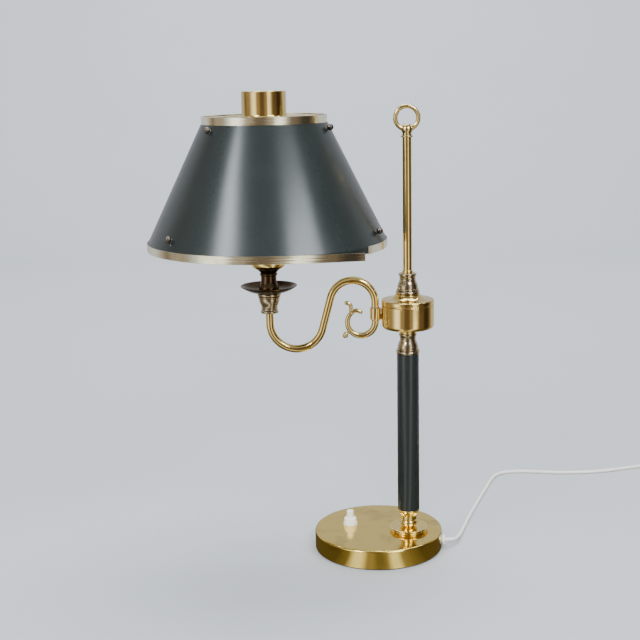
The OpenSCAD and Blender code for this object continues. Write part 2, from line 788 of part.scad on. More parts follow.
// The places of the clamp's screws, at the weight's top
module at_clamp_screws() {
    translate([clamp_c[0], clamp_c[1], weight_top]) rotate([0, 0, slot_turn])
        for (s = [-1, 1]) translate([0, s * (clamp_len / 2 - 3), 0]) children();
}

module cord_clamp() {
    color(IVORY) difference() {
        translate([clamp_c[0], clamp_c[1], weight_top]) rotate([0, 0, slot_turn])
            translate([-clamp_w / 2, -clamp_len / 2, 0]) cube([clamp_w, clamp_len, clamp_t]);
        at_clamp_screws() translate([0, 0, -NUDGE])
            cylinder(r = clamp_screw_d / 2 + slip_gap, h = clamp_t + 2 * NUDGE, $fn = 24);
    }
}

module clamp_screws() {
    color(STEEL) at_clamp_screws() {
        translate([0, 0, clamp_t]) cylinder(d = clamp_screw_d * 1.8, h = clamp_screw_d * 0.6, $fn = 24);
        translate([0, 0, -clamp_screw_grip])
            cylinder(d = clamp_screw_d, h = clamp_screw_grip + clamp_t + NUDGE, $fn = 24);
    }
}

module inner_cord() {
    start = outlet - (cover_wall + 2) * outlet_dir;
    at_clamp = [clamp_c[0], clamp_c[1], clamp_cord_z];
    reach = norm(slot_dir);
    near = [switch_x, switch_y] + (switch_body_d / 2 + 0.2) * slot_dir / reach;
    middle = [switch_x, switch_y] + (reach * 0.35) * slot_dir / reach;
    path = [
        start, start + [-2.4, 0.9, 0.4],
        [knee[0] + 0.42 * exit_dir[0] - 1.5, knee[1] + 0.42 * exit_dir[1], cord_up + 1.7],
        [knee[0] + 0.05 * exit_dir[0], knee[1] + 0.12 * exit_dir[1], clamp_cord_z - 0.8], at_clamp,
        [middle[0], middle[1], clamp_cord_z], [near[0], near[1], clamp_cord_z - 1]
    ];
    color(IVORY) even_sweep(smooth(path, 4), cord_d, [0, 0, 1], 8);
}

module column_lead() {
    low = felt_t + lead_d / 2 + 0.1;
    across = [col_x - switch_x, col_y - switch_y];
    reach = norm(across);
    leave = [switch_x, switch_y] + (switch_pocket_d / 2 - 1) * across / reach;
    bend_at = [col_x, col_y] - lead_d * across / reach;
    under = [leave[0], leave[1], low];
    exit_z = block_z;
    path = [
        [leave[0], leave[1], switch_z0 - lead_d / 2] - 4 * [across[0], across[1], 0] / reach, under,
        [bend_at[0], bend_at[1], low], [col_x, col_y, low + 4], [col_x, col_y, exit_z - 6],
        [col_x - 0.2, col_y, exit_z - 2.6], [col_x - 2.6, col_y, exit_z - 0.2], [col_x - 7, col_y, exit_z]
    ];
    color("#d8d2c2") even_sweep(path, lead_d, [0, 1, 0.02], 8);
}

// ---- Stem ----

module tie_tube() {
    color(STEEL) at_column() difference() {
        hollow_tube(tie_d, tie_wall, tie_z0, tie_z1);
        translate([0, 0, block_z]) rotate([0, -90, 0]) cylinder(d = tie_window_d, h = tie_d, $fn = FINE);
    }
}

module tie_nut() {
    color(STEEL) at_column() translate([0, 0, nut_z]) hex_nut(tie_nut_af, tie_nut_t, tie_d / 2);
}

module tie_washer() {
    color(STEEL) at_column() hollow_tube(washer_d, washer_d / 2 - bore_r, washer_z, recess_top);
}

module column_foot() {
    step_r = foot_step_d / 2;
    dish_r = foot_dish_d / 2;
    neck_r = foot_neck_d / 2;
    top_h = foot_rim_h - 0.2;
    bulb_z0 = foot_rim_h + 0.9;
    bulb_z1 = 2 * foot_bulb_up - bulb_z0;
    color(GOLD) at_column() translate([0, 0, base_h]) turned(concat(
        [[bore_r, 0], [step_r - 0.4, 0], [step_r, 0.4], [step_r, foot_step_h - 0.4]],
        [[step_r - 0.4, foot_step_h]],
        ogee([step_r - 0.2, foot_step_h + 0.2], [dish_r, foot_rim_h - 1.2], 6),
        arc([dish_r - 0.6, foot_rim_h - 0.6], 0.6, 0, 110, 5),
        [[dish_r - 2, top_h - 0.3], [neck_r + 3, top_h + 0.1]],
        ogee([neck_r + 1.2, top_h + 0.2], [neck_r, bulb_z0 - 0.2], 4),
        bead(neck_r + 0.6, foot_bulb_d / 2, bulb_z0, bulb_z1, 12),
        ogee([foot_waist_d / 2 + 0.2, bulb_z1 + 0.2], [foot_waist_d / 2, bulb_z1 + 3.6], 4),
        ogee([foot_waist_d / 2, bulb_z1 + 4], [column_d / 2 - 0.5, foot_h - 1.4], 8),
        [[column_d / 2 - 0.2, foot_h], [spigot_r, foot_h], [spigot_r, foot_h + spigot_depth]],
        [[bore_r, foot_h + spigot_depth]]
    ));
}

module column_tube() {
    color(GREEN) at_column() hollow_tube(column_d, column_wall, column_z0, column_z1);
}

// The outline of a vase-shaped knop from its wide end, at the height 0, to its narrow end
function knop_outline(hole_r) = concat(
    [[hole_r, 0], [knop_end_d / 2 - 0.3, 0], [knop_end_d / 2, 0.4], [knop_end_d / 2, 1]],
    bead(knop_end_d / 2 + 0.3, knop_bead_d / 2, 1.2, 4.6, 8),
    [[knop_end_d / 2 + 0.2, 4.8], [knop_end_d / 2 + 0.2, 5.6], [knop_end_d / 2 - 0.2, 5.9]],
    ogee([knop_end_d / 2 - 0.6, 6.1], [knop_waist_d / 2 + 0.2, knop_h - 6.4], 10),
    bead(knop_waist_d / 2, knop_waist_d / 2 + 0.5, knop_h - 6.1, knop_h - 4.5, 4),
    ogee([knop_waist_d / 2, knop_h - 4.2], [knop_rim_d / 2, knop_h - 1.4], 6),
    [[knop_rim_d / 2, knop_h - 0.6], [knop_rim_d / 2 - 0.6, knop_h], [hole_r, knop_h]]
);

module lower_knop() {
    color(ANTIQUE) at_column() {
        translate([0, 0, column_z1]) turned(knop_outline(bore_r));
        hollow_tube(2 * spigot_r, spigot_r - bore_r, column_z1 - spigot_depth, column_z1 + NUDGE);
    }
}

module drum_can() {
    neck_r = knop_rim_d / 2 - 0.6;
    corner = [drum_r - drum_corner_r, side_z0 + drum_corner_r - 0.4];
    under_z = side_z0 - 3.4;
    color(BRASS) at_column() difference() {
        turned(concat(
            [[bore_r, drum_z0], [neck_r, drum_z0], [neck_r, under_z - 0.6], [neck_r + 0.8, under_z]],
            arc(corner, drum_corner_r, -80, 0, 8),
            [[drum_r, lid_z0], [drum_in_r, lid_z0]],
            arc(corner, drum_corner_r - drum_wall, 0, -80, 8),
            [[neck_r + 0.4, under_z + drum_wall * 1.1]],
            [[bore_r, under_z + drum_wall * 1.1]]
        ));
        translate([0, 0, block_z]) rotate([0, -90, 0])
            cylinder(r = stud_d / 2 + slip_gap, h = drum_d, $fn = FINE);
    }
}

module drum_lid() {
    boss_r = lid_boss_d / 2;
    sleeve_r = drum_in_r - slip_gap;
    edge = 1.4;
    color(BRASS) at_column() turned(concat(
        [[sleeve_r - drum_wall, lid_z0 - lid_sleeve_h], [sleeve_r, lid_z0 - lid_sleeve_h]],
        [[sleeve_r, lid_z0]],
        [[drum_r - 0.5, lid_z0], [drum_r, lid_z0 + 0.5]],
        bead(drum_r, drum_r + 0.25, lid_z0 + 0.5, lid_z0 + 1.7, 4),
        arc([drum_r - edge, lid_z1 - edge], edge, 0, 75, 5),
        [for (i = [0:8]) let (t = i / 8)
            [drum_r - 2.2 + (boss_r - drum_r + 2.2) * t, lid_z1 + (lid_rise - 0.8) * pow(t, 2.4)]],
        [[boss_r, boss_z], [bore_r, boss_z]],
        [[bore_r, boss_z - drum_wall], [boss_r - 1.4, boss_z - drum_wall]],
        [for (i = [8:-1:0]) let (t = i / 8)
            [drum_r - 3.2 + (boss_r - drum_r + 2) * t, lid_z1 - 1.2 + (lid_rise - 1) * pow(t, 2.4)]],
        [[sleeve_r - drum_wall, lid_z1 - 2.6]]
    ));
}

module upper_knop() {
    color(ANTIQUE) at_column() difference() {
        translate([0, 0, boss_z]) turned(knop_outline(bore_r));
        translate([0, 0, coupler_z0 - slip_gap])
            cylinder(r = coupler_d / 2 + slip_gap, h = knop_h, $fn = FINE);
    }
}

module rod_coupler() {
    coupler_r = coupler_d / 2;
    edge = coupler_r - rod_d / 2 - slip_gap;
    color(GOLD) at_column() turned(concat(
        [[tie_d / 2, coupler_z0], [coupler_r, coupler_z0]],
        arc([coupler_r - edge, coupler_z1 - edge], edge, 0, 80, 5),
        [[rod_d / 2 + slip_gap, coupler_z1], [rod_d / 2 + slip_gap, tie_z1], [tie_d / 2, tie_z1]]
    ));
}

module upper_rod() {
    color(BRASS) at_column() hollow_tube(rod_d, rod_wall, tie_z1, rod_z1);
}

// ---- Finial ----

module finial_neck() {
    lip_r = finial_lip_d / 2;
    neck_r = finial_neck_d / 2;
    ball_r = finial_ball_d / 2;
    flat_r = finial_flat_d / 2;
    half_flat = asin(flat_r / ball_r);
    color(GOLD) at_column() difference() {
        translate([0, 0, rod_z1]) turned(concat(
            [[0, -finial_plug_depth], [rod_in_r - slip_gap, -finial_plug_depth], [rod_in_r - slip_gap, 0]],
            [[lip_r - 0.4, 0], [lip_r, 0.4], [lip_r, finial_lip_t - 0.4], [lip_r - 0.4, finial_lip_t]],
            [[neck_r, finial_lip_t], [neck_r, finial_lip_t + 1.6]],
            arc([0, finial_ball_up], ball_r, -38, 90 - half_flat, 12),
            [[flat_r, finial_ball_up + ball_r * cos(half_flat) + 0.5]],
            [[flat_r - 0.8, finial_ball_up + ball_r * cos(half_flat) + 0.9]],
            [[0, finial_ball_up + ball_r * cos(half_flat) + 0.9]]
        ));
        translate([0, 0, ring_z]) rotate([90, 0, 0]) rotate_extrude($fn = ROUND)
            translate([(ring_d - ring_wire_d) / 2, 0]) circle(d = ring_wire_d, $fn = FINE);
    }
}

module finial_ring() {
    color(GOLD) at_column() translate([0, 0, ring_z]) rotate([90, 0, 0]) rotate_extrude($fn = ROUND)
        translate([(ring_d - ring_wire_d) / 2, 0]) circle(d = ring_wire_d, $fn = FINE);
}

// ---- Hinge ----

module hinge_bracket() {
    block_end = drum_r;
    color(BRASS) difference() {
        union() {
            at_hinge() translate([0, 0, sleeve_z0]) turned(concat(
                [[0, 0], [sleeve_d / 2 - 0.5, 0], [sleeve_d / 2, 0.5]],
                [[sleeve_d / 2, sleeve_h - 0.5], [sleeve_d / 2 - 0.5, sleeve_h], [0, sleeve_h]]
            ));
            at_column() difference() {
                translate([block_x0, -block_w / 2, block_z - block_h / 2])
                    cube([hinge_reach, block_w, block_h]);
                cylinder(r = block_end, h = 2 * block_z, $fn = ROUND);
            }
            at_column() translate([stud_x0, 0, block_z]) rotate([0, -90, 0])
                cylinder(d = stud_d, h = hinge_reach + stud_x0, $fn = FINE);
        }
        at_hinge() translate([0, 0, sleeve_z0 - NUDGE])
            cylinder(r = sleeve_bore_r, h = sleeve_h + 2 * NUDGE, $fn = FINE);
        at_hinge() translate([0, 0, block_z]) rotate([0, 90, 0])
            cylinder(d = stud_bore_d, h = hinge_reach, $fn = FINE);
    }
}

module bracket_nut() {
    color(STEEL) at_column() difference() {
        translate([-drum_in_r + 0.6, 0, block_z]) rotate([0, 90, 0]) rotate([0, 0, 30])
            hex_nut(stud_nut_af, stud_nut_t, stud_d / 2);
        difference() {
            cylinder(r = drum_d, h = 2 * block_z, $fn = ROUND);
            translate([0, 0, -NUDGE])
                cylinder(r = drum_in_r - slip_gap, h = 2 * block_z + 2 * NUDGE, $fn = ROUND);
        }
    }
}

module hinge_washer() {
    color(ANTIQUE) at_hinge()
        hollow_tube(arm_d + 1.4, arm_d / 2 + 0.7 - sleeve_bore_r, sleeve_z1, washer_z1);
}

module hinge_pin() {
    color(STEEL) at_hinge() difference() {
        hollow_tube(2 * pin_r, pin_r - pin_bore_r, scroll_top_z - pin_grip, arm_z0 + pin_grip);
        translate([0, -arm_d, block_z - stud_bore_d / 2]) cube([arm_d, 2 * arm_d, stud_bore_d]);
    }
}

module bracket_lead() {
    start = [hinge_x + pin_r + 0.7, col_y, block_z];
    finish = [col_x + stud_x0 + 2, col_y, block_z];
    path = [for (i = [0:4]) start + (finish - start) * i / 4];
    color("#d8d2c2") even_sweep(path, lead_d, [0, 0, 1], 8);
}

module wire_splices() {
    color(IVORY) at_column() for (s = [-1, 1])
        translate([stud_x0 + 2.1, s * splice_d * 0.52, block_z]) rotate([0, 90, 0])
            cylinder(d = splice_d, h = splice_len, $fn = 24);
}

// ---- Arm ----

// A pipe along the points p: the flats of its bore stand off by the radius r_in
module pipe(p, r_out, r_in, side, sides) {
    heads = headings(p);
    rows = len(p);
    points = [for (i = [0:rows - 1])
        let (a = unit(cross(side, heads[i])), b = cross(heads[i], a))
        for (r = [r_out, r_in / cos(180 / sides)])
            for (k = [0:sides - 1]) p[i] + r * (cos(360 * k / sides) * a + sin(360 * k / sides) * b)];
    walls = [for (i = [0:rows - 2]) for (k = [0:sides - 1])
        let (j = (k + 1) % sides, o = 2 * i * sides, n = o + 2 * sides, u = o + sides, v = n + sides)
        for (f = [
            [o + k, n + k, n + j], [o + k, n + j, o + j], [u + k, v + j, v + k], [u + k, u + j, v + j]
        ]) f];
    last = 2 * (rows - 1) * sides;
    ends = [for (k = [0:sides - 1])
        let (j = (k + 1) % sides)
        for (f = [
            [k, j, sides + j], [k, sides + j, sides + k],
            [last + k, last + sides + j, last + j], [last + k, last + sides + k, last + sides + j]
        ]) f];
    polyhedron(points = points, faces = concat(walls, ends), convexity = 8);
}

// The arm's centreline between its two upright ends
function arm_bends(steps) = concat(
    arc(arch_c, arch_r, 0, arch_end, steps), arc(bend_c, bend_r, bend_start, -180, steps)
);

module arm_tube() {
    flat = concat([[0, arm_z0]], arm_bends(12), [[-arm_reach, tube_end_z]]);
    color(BRASS) at_hinge() pipe([for (q = flat) [q[0], 0, q[1]]], arm_d / 2, arm_in_r, [0, 1, 0], 16);
}

module arm_lead() {
    flat = concat([[0, block_z - 1]], arm_bends(8), [[-arm_reach, insert_z0 - 0.2]]);
    path = [for (q = flat) [hinge_x + q[0], col_y, q[1]]];
    color("#d8d2c2") even_sweep(path, lead_d, [0, 1, 0], 8);
}

// The scroll's centreline: its round shrinks with the bar's own radius, so its inside stays a true arc
fork_turn = -226;
round_c = [-(scroll_r + scroll_d / 2), scroll_top_z - 2];
function round_point(t) =
    let (a = fork_turn * t, r = scroll_r + (scroll_d + (fork_d - scroll_d) * t) / 2)
    [round_c[0] + r * cos(a), 0, round_c[1] + r * sin(a)];
curl_c = round_c + [-scroll_r - 3, scroll_r + 4.4];

module arm_scroll() {
    steps = 30;
    stem = [[0, 0, scroll_top_z], [0, 0, scroll_top_z - 1]];
    round_path = concat(stem, [for (i = [0:steps]) round_point(i / steps)]);
    fork = round_point(0.97);
    upper_leaf = concat(
        [fork + [-0.6, 0, -1.6], fork + [0.5, 0, 1.4]],
        [for (i = [0:9]) let (a = -8 + 128 * i / 9)
            [curl_c[0] + curl_r * cos(a), 0, curl_c[1] + curl_r * sin(a)]]
    );
    short_turn = fork_turn - 2;
    short_leaf = [for (i = [0:9])
        let (t = i / 9, a = short_turn - 50 * t, r = scroll_r + fork_d / 2 - 5.2 * t * t)
        [round_c[0] + r * cos(a), 0, round_c[1] + r * sin(a)]];
    spur_from = round_point(0.6);
    drop_c = round_c + [-scroll_r - 4.9, -scroll_r - 2.7];
    spur = [
        spur_from, spur_from + [-2.6, 0, 0.6], [drop_c[0] + 2.4, 0, drop_c[1] + 3],
        [drop_c[0] + 0.5, 0, drop_c[1] + 2.4], [drop_c[0], 0, drop_c[1]],
        [drop_c[0] + 0.3, 0, drop_c[1] - 1.6], [drop_c[0] + 0.6, 0, drop_c[1] - 2.6]
    ];
    leaf_ends = leaf_d / 2;
    spur_widths = [1.6, 1.4, 1.5, 2.1, drop_d / 2, drop_d * 0.4, drop_d * 0.16];
    color(GOLD) at_hinge() difference() {
        union() {
            sweep(round_path, [for (i = [0:len(round_path) - 1])
                scroll_d / 2 + (fork_d - scroll_d) / 2 * max(0, i - 2) / steps], [0, 1, 0], 12);
            sweep(upper_leaf, tapered(upper_leaf, fork_d * 0.42, leaf_ends), [0, 1, 0], 12);
            sweep(short_leaf, tapered(short_leaf, fork_d * 0.49, leaf_ends), [0, 1, 0], 12);
            sweep(spur, spur_widths, [0, 1, 0], 12);
        }
        translate([0, 0, scroll_top_z - pin_grip]) cylinder(r = pin_r, h = pin_grip + NUDGE, $fn = FINE);
    }
}

// ---- Candle cup and lamp holder ----

module arm_cup() {
    color(ANTIQUE) at_light() difference() {
        translate([0, 0, cup_z1]) mirror([0, 0, 1]) turned(knop_outline(arm_d / 2));
        translate([0, 0, tube_end_z]) cylinder(r = nipple_d / 2, h = knop_h, $fn = FINE);
    }
}

module drip_pan() {
    pan_r = pan_d / 2;
    flat_r = pan_flat_d / 2;
    lip = 1.6;
    dish_h = pan_h - lip;
    steps = 8;
    under = [for (i = [0:steps]) let (t = i / steps) [flat_r + (pan_r - 1.2 - flat_r) * t, dish_h * t * t]];
    color(BRONZE) at_light() translate([0, 0, cup_z1]) turned(concat(
        [[nipple_d / 2 + slip_gap, 0]], under, [[pan_r - 0.2, pan_h - 0.4], [pan_r - 0.6, pan_h]],
        [[pan_r - 1, pan_h - 0.2]],
        [for (i = [steps:-1:0]) [under[i][0] - 0.5, under[i][1] + pan_t]], [[nipple_d / 2 + slip_gap, pan_t]]
    ));
}

module candle_cup() {
    foot_r = candle_foot_d / 2;
    waist_r = candle_waist_d / 2;
    top_r = candle_top_d / 2;
    waist_z = candle_h * 0.5;
    bead_z = candle_h * 0.755;
    color(BRONZE) at_light() translate([0, 0, candle_z0]) turned(concat(
        [[nipple_d / 2 + slip_gap, 0], [foot_r - 0.4, 0], [foot_r, 0.5], [foot_r, 1.4]],
        ogee([foot_r - 0.5, 1.8], [waist_r, waist_z], 10),
        [[waist_r, bead_z - 2]],
        bead(waist_r, candle_bead_d / 2, bead_z - 1.5, bead_z + 1.3, 8),
        [for (i = [0:8]) let (t = i / 8)
            let (r = waist_r + 0.4 + (top_r - waist_r - 0.4) * pow(t, 1.3))
            [r, bead_z + 1.6 + (candle_h - bead_z - 2.2) * t]],
        [[top_r, candle_h], [nipple_d / 2 + slip_gap, candle_h]]
    ));
}

module holder_nipple() {
    color(STEEL) at_light() hollow_tube(nipple_d, nipple_wall, tube_end_z, nipple_z1);
}

module holder_cap() {
    start_r = candle_top_d / 2 - 0.3;
    rise = 7;
    color(GOLD) at_light() translate([0, 0, candle_z1]) turned(concat(
        [[nipple_d / 2 + slip_gap, 0], [start_r, 0]],
        [for (i = [0:8]) let (a = 90 * i / 8)
            [start_r + (holder_r - start_r) * sin(a), rise * (1 - cos(a))]],
        [[holder_r, holder_cap_h - 3]],
        bead(holder_r, holder_r + 0.5, holder_cap_h - 2.8, holder_cap_h - 1, 4),
        [[holder_r, holder_cap_h], [holder_r - holder_wall, holder_cap_h]],
        [for (i = [8:-1:0]) let (a = 90 * i / 8)
            [start_r - holder_wall + (holder_r - start_r) * sin(a), holder_wall + rise * (1 - cos(a))]],
        [[nipple_d / 2 + slip_gap, holder_wall]]
    ));
}

module holder_shell() {
    lug = 1.2;
    inner = holder_r - holder_wall;
    color(GOLD) at_light() turned([
        [insert_d / 2 + slip_gap, cap_z1], [holder_r, cap_z1], [holder_r, shell_z1 - 1],
        [holder_r - 1, shell_z1], [screw_in_r + screw_shell_wall + lug, shell_z1],
        [screw_in_r + screw_shell_wall + lug, shell_z1 - holder_wall], [inner - 0.6, shell_z1 - holder_wall],
        [inner, shell_z1 - holder_wall - 0.6], [inner, cap_z1 + holder_wall],
        [insert_d / 2 + slip_gap, cap_z1 + holder_wall]
    ]);
}

module holder_insert() {
    seat_r = screw_in_r + screw_shell_wall + slip_gap;
    color("#e8e2d4") at_light() difference() {
        translate([0, 0, insert_z0]) cylinder(d = insert_d, h = insert_h, $fn = ROUND);
        translate([0, 0, insert_z1 - 2]) cylinder(r = seat_r, h = 2 + NUDGE, $fn = ROUND);
    }
}

module screw_shell() {
    color(BRASS) at_light()
        hollow_tube(screw_shell_d + 2 * screw_shell_wall, screw_shell_wall, insert_z1 - 2, shell_z1 - 1.4);
}

module centre_contact() {
    color(BRASS) at_light() {
        translate([0, 0, insert_z1 - 2]) cylinder(r = 4, h = 2, $fn = FINE);
        translate([0, 0, insert_z1]) cylinder(r = 2.4, h = bulb_z0 - insert_z1, $fn = FINE);
    }
}

// Two threaded rings hold the shade's frame between them
module shade_rings() {
    ring_r = shade_ring_d / 2;
    for (z = [frame_z - shade_ring_t, frame_z + bar_t])
        color(BRASS) at_light() turned([
            [frame_ring_r, z], [ring_r - 0.6, z], [ring_r, z + 0.6], [ring_r, z + shade_ring_t - 0.6],
            [ring_r - 0.6, z + shade_ring_t], [frame_ring_r, z + shade_ring_t]
        ]);
}

module bulb_cap() {
    cap_r = bulb_cap_d / 2;
    ridges = 5;
    pitch = 3;
    color("#b9bcc0") at_light() translate([0, 0, bulb_z0]) turned(concat(
        [[0, 0], [4, 0], [4.6, 1], [9, 3.2], [cap_r - 1.2, 4.4]],
        [for (k = [0:ridges - 1]) for (i = [0:4])
            [cap_r - 0.6 - 0.6 * cos(90 * i), 5 + pitch * (k + i / 4)]],
        [[cap_r - 1, 5 + pitch * ridges], [cap_r - 1, bulb_cap_h], [0, bulb_cap_h]]
    ));
}

module bulb_glass() {
    neck_r = bulb_cap_d / 2 - 1.4;
    globe_r = bulb_d / 2;
    globe_z = bulb_glass_h - globe_r;
    join = 128;
    outer = concat(
        [[neck_r, 0], [neck_r, 3]],
        [for (i = [1:8]) let (t = i / 9, e = globe_r * sin(join), z = globe_z + globe_r * cos(join))
            [neck_r + (e - neck_r) * (1 - cos(118 * t)) / (1 - cos(118)), 3 + (z - 3) * t]],
        [for (i = [0:16]) let (a = join * (1 - i / 16))
            [max(0, globe_r * sin(a)), globe_z + globe_r * cos(a)]]
    );
    scale_in = (globe_r - bulb_wall) / globe_r;
    color("#f4f1e6") at_light() translate([0, 0, bulb_cap_z1]) difference() {
        turned(concat([[0, 0]], outer));
        translate([0, 0, globe_z]) sphere(r = globe_r - bulb_wall, $fn = ROUND);
        translate([0, 0, bulb_wall]) cylinder(r = (neck_r - bulb_wall) * scale_in, h = globe_z, $fn = FINE);
    }
}

// ---- Shade ----

// Outside radius of the shade's sheet at the height z
function sheet_r(z) = shade_d / 2 - (z - shade_z0 - shade_edge_h) * slope;

// A place on the shade's outside: turn is the angle from the front, to the right; +Z points straight out
module on_shade(turn, z) {
    at_light() rotate([0, 0, turn - 90]) translate([sheet_r(z), 0, z]) rotate([0, 90 - lean, 0]) children();
}

module shade_sheet() {
    across = shade_t / cos(lean);
    color(GREEN) difference() {
        at_light() turned([
            [shade_d / 2 - shade_t, shade_z0], [shade_d / 2, shade_z0], [shade_d / 2, shade_z0 + shade_edge_h],
            [sheet_r(shade_z1), shade_z1], [sheet_r(shade_z1) - across, shade_z1],
            [shade_d / 2 - shade_t, shade_z0 + shade_edge_h - shade_t * tan(lean / 2)]
        ]);
        for (t = knob_turns) for (z = [low_knob_z, top_knob_z])
            on_shade(t, z) translate([0, 0, -4]) cylinder(r = knob_screw_d / 2 + slip_gap, h = 8, $fn = 24);
    }
}

// The frame's ring, and a bar to each lower knob with a tab along the sheet
module shade_frame() {
    inner_r = sheet_r(frame_z) - shade_t / cos(lean);
    bar_end = inner_r - shade_t - bar_t * 0.8;
    tab_in = shade_t + slip_gap + bar_t;
    tab_down = (low_knob_z - frame_z) / cos(lean);
    color(STEEL) difference() {
        union() {
            at_light() hollow_tube(shade_ring_d, shade_ring_d / 2 - frame_ring_r, frame_z, frame_z + bar_t);
            for (t = knob_turns) {
                at_light() rotate([0, 0, t - 90])
                    translate([frame_ring_r + bar_t, slip_gap - bar_w / 2, frame_z + slip_gap])
                        cube([bar_end - frame_ring_r - bar_t, bar_w - 2 * slip_gap, bar_t - 2 * slip_gap]);
                on_shade(t, low_knob_z) translate([-tab_len / 2, -bar_w / 2, -tab_in])
                    cube([tab_len / 2 + tab_down, bar_w, bar_t]);
            }
        }
        for (t = knob_turns) on_shade(t, low_knob_z) translate([0, 0, -8])
            cylinder(r = knob_screw_d / 2 + slip_gap, h = 12, $fn = 24);
        at_light() translate([0, 0, frame_z - 9]) difference() {
            cylinder(r = shade_d, h = 30, $fn = ROUND);
            translate([0, 0, -NUDGE]) cylinder(
                r1 = sheet_r(frame_z - 9 - NUDGE) - (shade_t + slip_gap) / cos(lean),
                r2 = sheet_r(frame_z + 21 + NUDGE) - (shade_t + slip_gap) / cos(lean),
                h = 30 + 2 * NUDGE, $fn = ROUND);
        }
    }
}

// The outline of an upright trim band outside the radius r, from the edge z0 with its lip to the edge z1
function band_outline(r, z0, z1) =
    let (out = r + band_t, s = z1 > z0 ? 1 : -1, c = 0.25)
    [
        [r - band_lip, z0], [out - c, z0], [out, z0 + s * c], [out, z1 - s * c], [out - c, z1],
        [r, z1], [r, z0 + s * band_t], [r - band_lip, z0 + s * band_t]
    ];

// How far the lower band hangs at the turn t from the front
function hang(t) = loose_drop * pow(max(0, t - band_end_at + loose_arc) / loose_arc, 2);

// The lower band is tight round most of the shade, and its last stretch has come loose and hangs
module lower_trim() {
    outline = band_outline(shade_d / 2 + slip_gap, low_band_z, low_band_z + low_band_h);
    n = len(outline);
    loose_from = band_end_at - loose_arc;
    tight = 360 - loose_arc - band_gap;
    turns = concat(
        [for (i = [0:71]) loose_from - tight * (1 - i / 72)],
        [for (i = [0:18]) loose_from + loose_arc * i / 18]
    );
    rows = len(turns) - 1;
    points = [for (t = turns) for (q = outline)
        [(q[0] + hang(t) * 0.1) * sin(t), -(q[0] + hang(t) * 0.1) * cos(t), q[1] - hang(t)]];
    walls = [for (i = [0:rows - 1]) for (k = [0:n - 1])
        let (j = (k + 1) % n, q = i * n)
        for (f = [[q + k, q + n + j, q + n + k], [q + k, q + j, q + n + j]]) f];
    first = [for (k = [n - 1:-1:0]) k];
    last = [for (k = [0:n - 1]) rows * n + k];
    color(SILVERED) at_light()
        polyhedron(points = points, faces = concat(walls, [first, last]), convexity = 10);
}

module upper_trim() {
    r = sheet_r(top_band_z - top_band_h) + slip_gap;
    color(SILVERED) at_light() turned(band_outline(r, top_band_z, top_band_z - top_band_h));
}

module shade_knobs() {
    stand = knob_d * 0.15;
    color(BRONZE) for (t = knob_turns) for (z = [low_knob_z, top_knob_z]) on_shade(t, z) {
        translate([0, 0, slip_gap]) cylinder(r = knob_d * 0.28, h = 2 * stand, $fn = 24);
        translate([0, 0, stand + knob_d * 0.45]) sphere(d = knob_d, $fn = FINE);
        translate([0, 0, -knob_screw_len]) cylinder(d = knob_screw_d, h = knob_screw_len + stand, $fn = 24);
    }
}

module knob_nuts() {
    top_seat = shade_t + 2 * slip_gap + plate_t;
    color(STEEL) for (t = knob_turns) {
        on_shade(t, low_knob_z) translate([0, 0, -low_seat - knob_nut_t])
            hex_nut(knob_nut_af, knob_nut_t, knob_screw_d / 2);
        on_shade(t, top_knob_z) translate([0, 0, -top_seat - knob_nut_t])
            hex_nut(knob_nut_af, knob_nut_t, knob_screw_d / 2);
    }
}

module top_plate() {
    gap = (shade_t + slip_gap) / cos(lean);
    wall = plate_t / cos(lean);
    color(BRASS) difference() {
        at_light() turned([
            [chimney_d / 2 - chimney_wall, plate_z0], [sheet_r(plate_z0) - gap - wall, plate_z0],
            [sheet_r(plate_z1 - plate_rim_h) - gap - wall, plate_z1 - plate_rim_h],
            [sheet_r(plate_z1 - plate_rim_h) - gap, plate_z1 - plate_rim_h],
            [sheet_r(plate_z1) - gap, plate_z1], [chimney_d / 2 - chimney_wall, plate_z1]
        ]);
        for (t = knob_turns) on_shade(t, top_knob_z) translate([0, 0, -4])
            cylinder(r = knob_screw_d / 2 + slip_gap, h = 8, $fn = 24);
    }
}

module chimney() {
    r = chimney_d / 2;
    inner = r - chimney_wall;
    flare_c = [r + chimney_flare, plate_z1 + chimney_flare + 0.4];
    color(BRASS) at_light() turned(concat(
        [[inner, plate_z1], [r + chimney_flare, plate_z1], [r + chimney_flare, plate_z1 + 0.4]],
        arc(flare_c, chimney_flare, 270, 180, 6),
        [[r, plate_z1 + chimney_h - 0.3], [r - 0.3, plate_z1 + chimney_h]],
        [[inner + 0.2, plate_z1 + chimney_h], [inner, plate_z1 + chimney_h - 0.2]]
    ));
}

// ---- Cord and plug ----

module supply_cord() {
    color(IVORY) even_sweep(smooth(route, 2), cord_d, [0, 0, 1], 10);
}

// Two layers of turns, four side by side in each
module cord_coil() {
    half = cord_d / 2;
    color(IVORY) translate([coil_x, coil_y, 0]) rotate_extrude($fn = ROUND) hull()
        for (r = [coil_turn_r - coil_half_w, coil_turn_r + coil_half_w]) for (z = [half, half + cord_d])
            translate([r, z]) circle(r = half, $fn = FINE);
}

// The plug lies beside the coil with its pins towards the front
module at_plug() {
    translate([coil_x + coil_turn_r + coil_half_w, plug_y1, plug_t / 2]) rotate([90, 0, 0]) children();
}

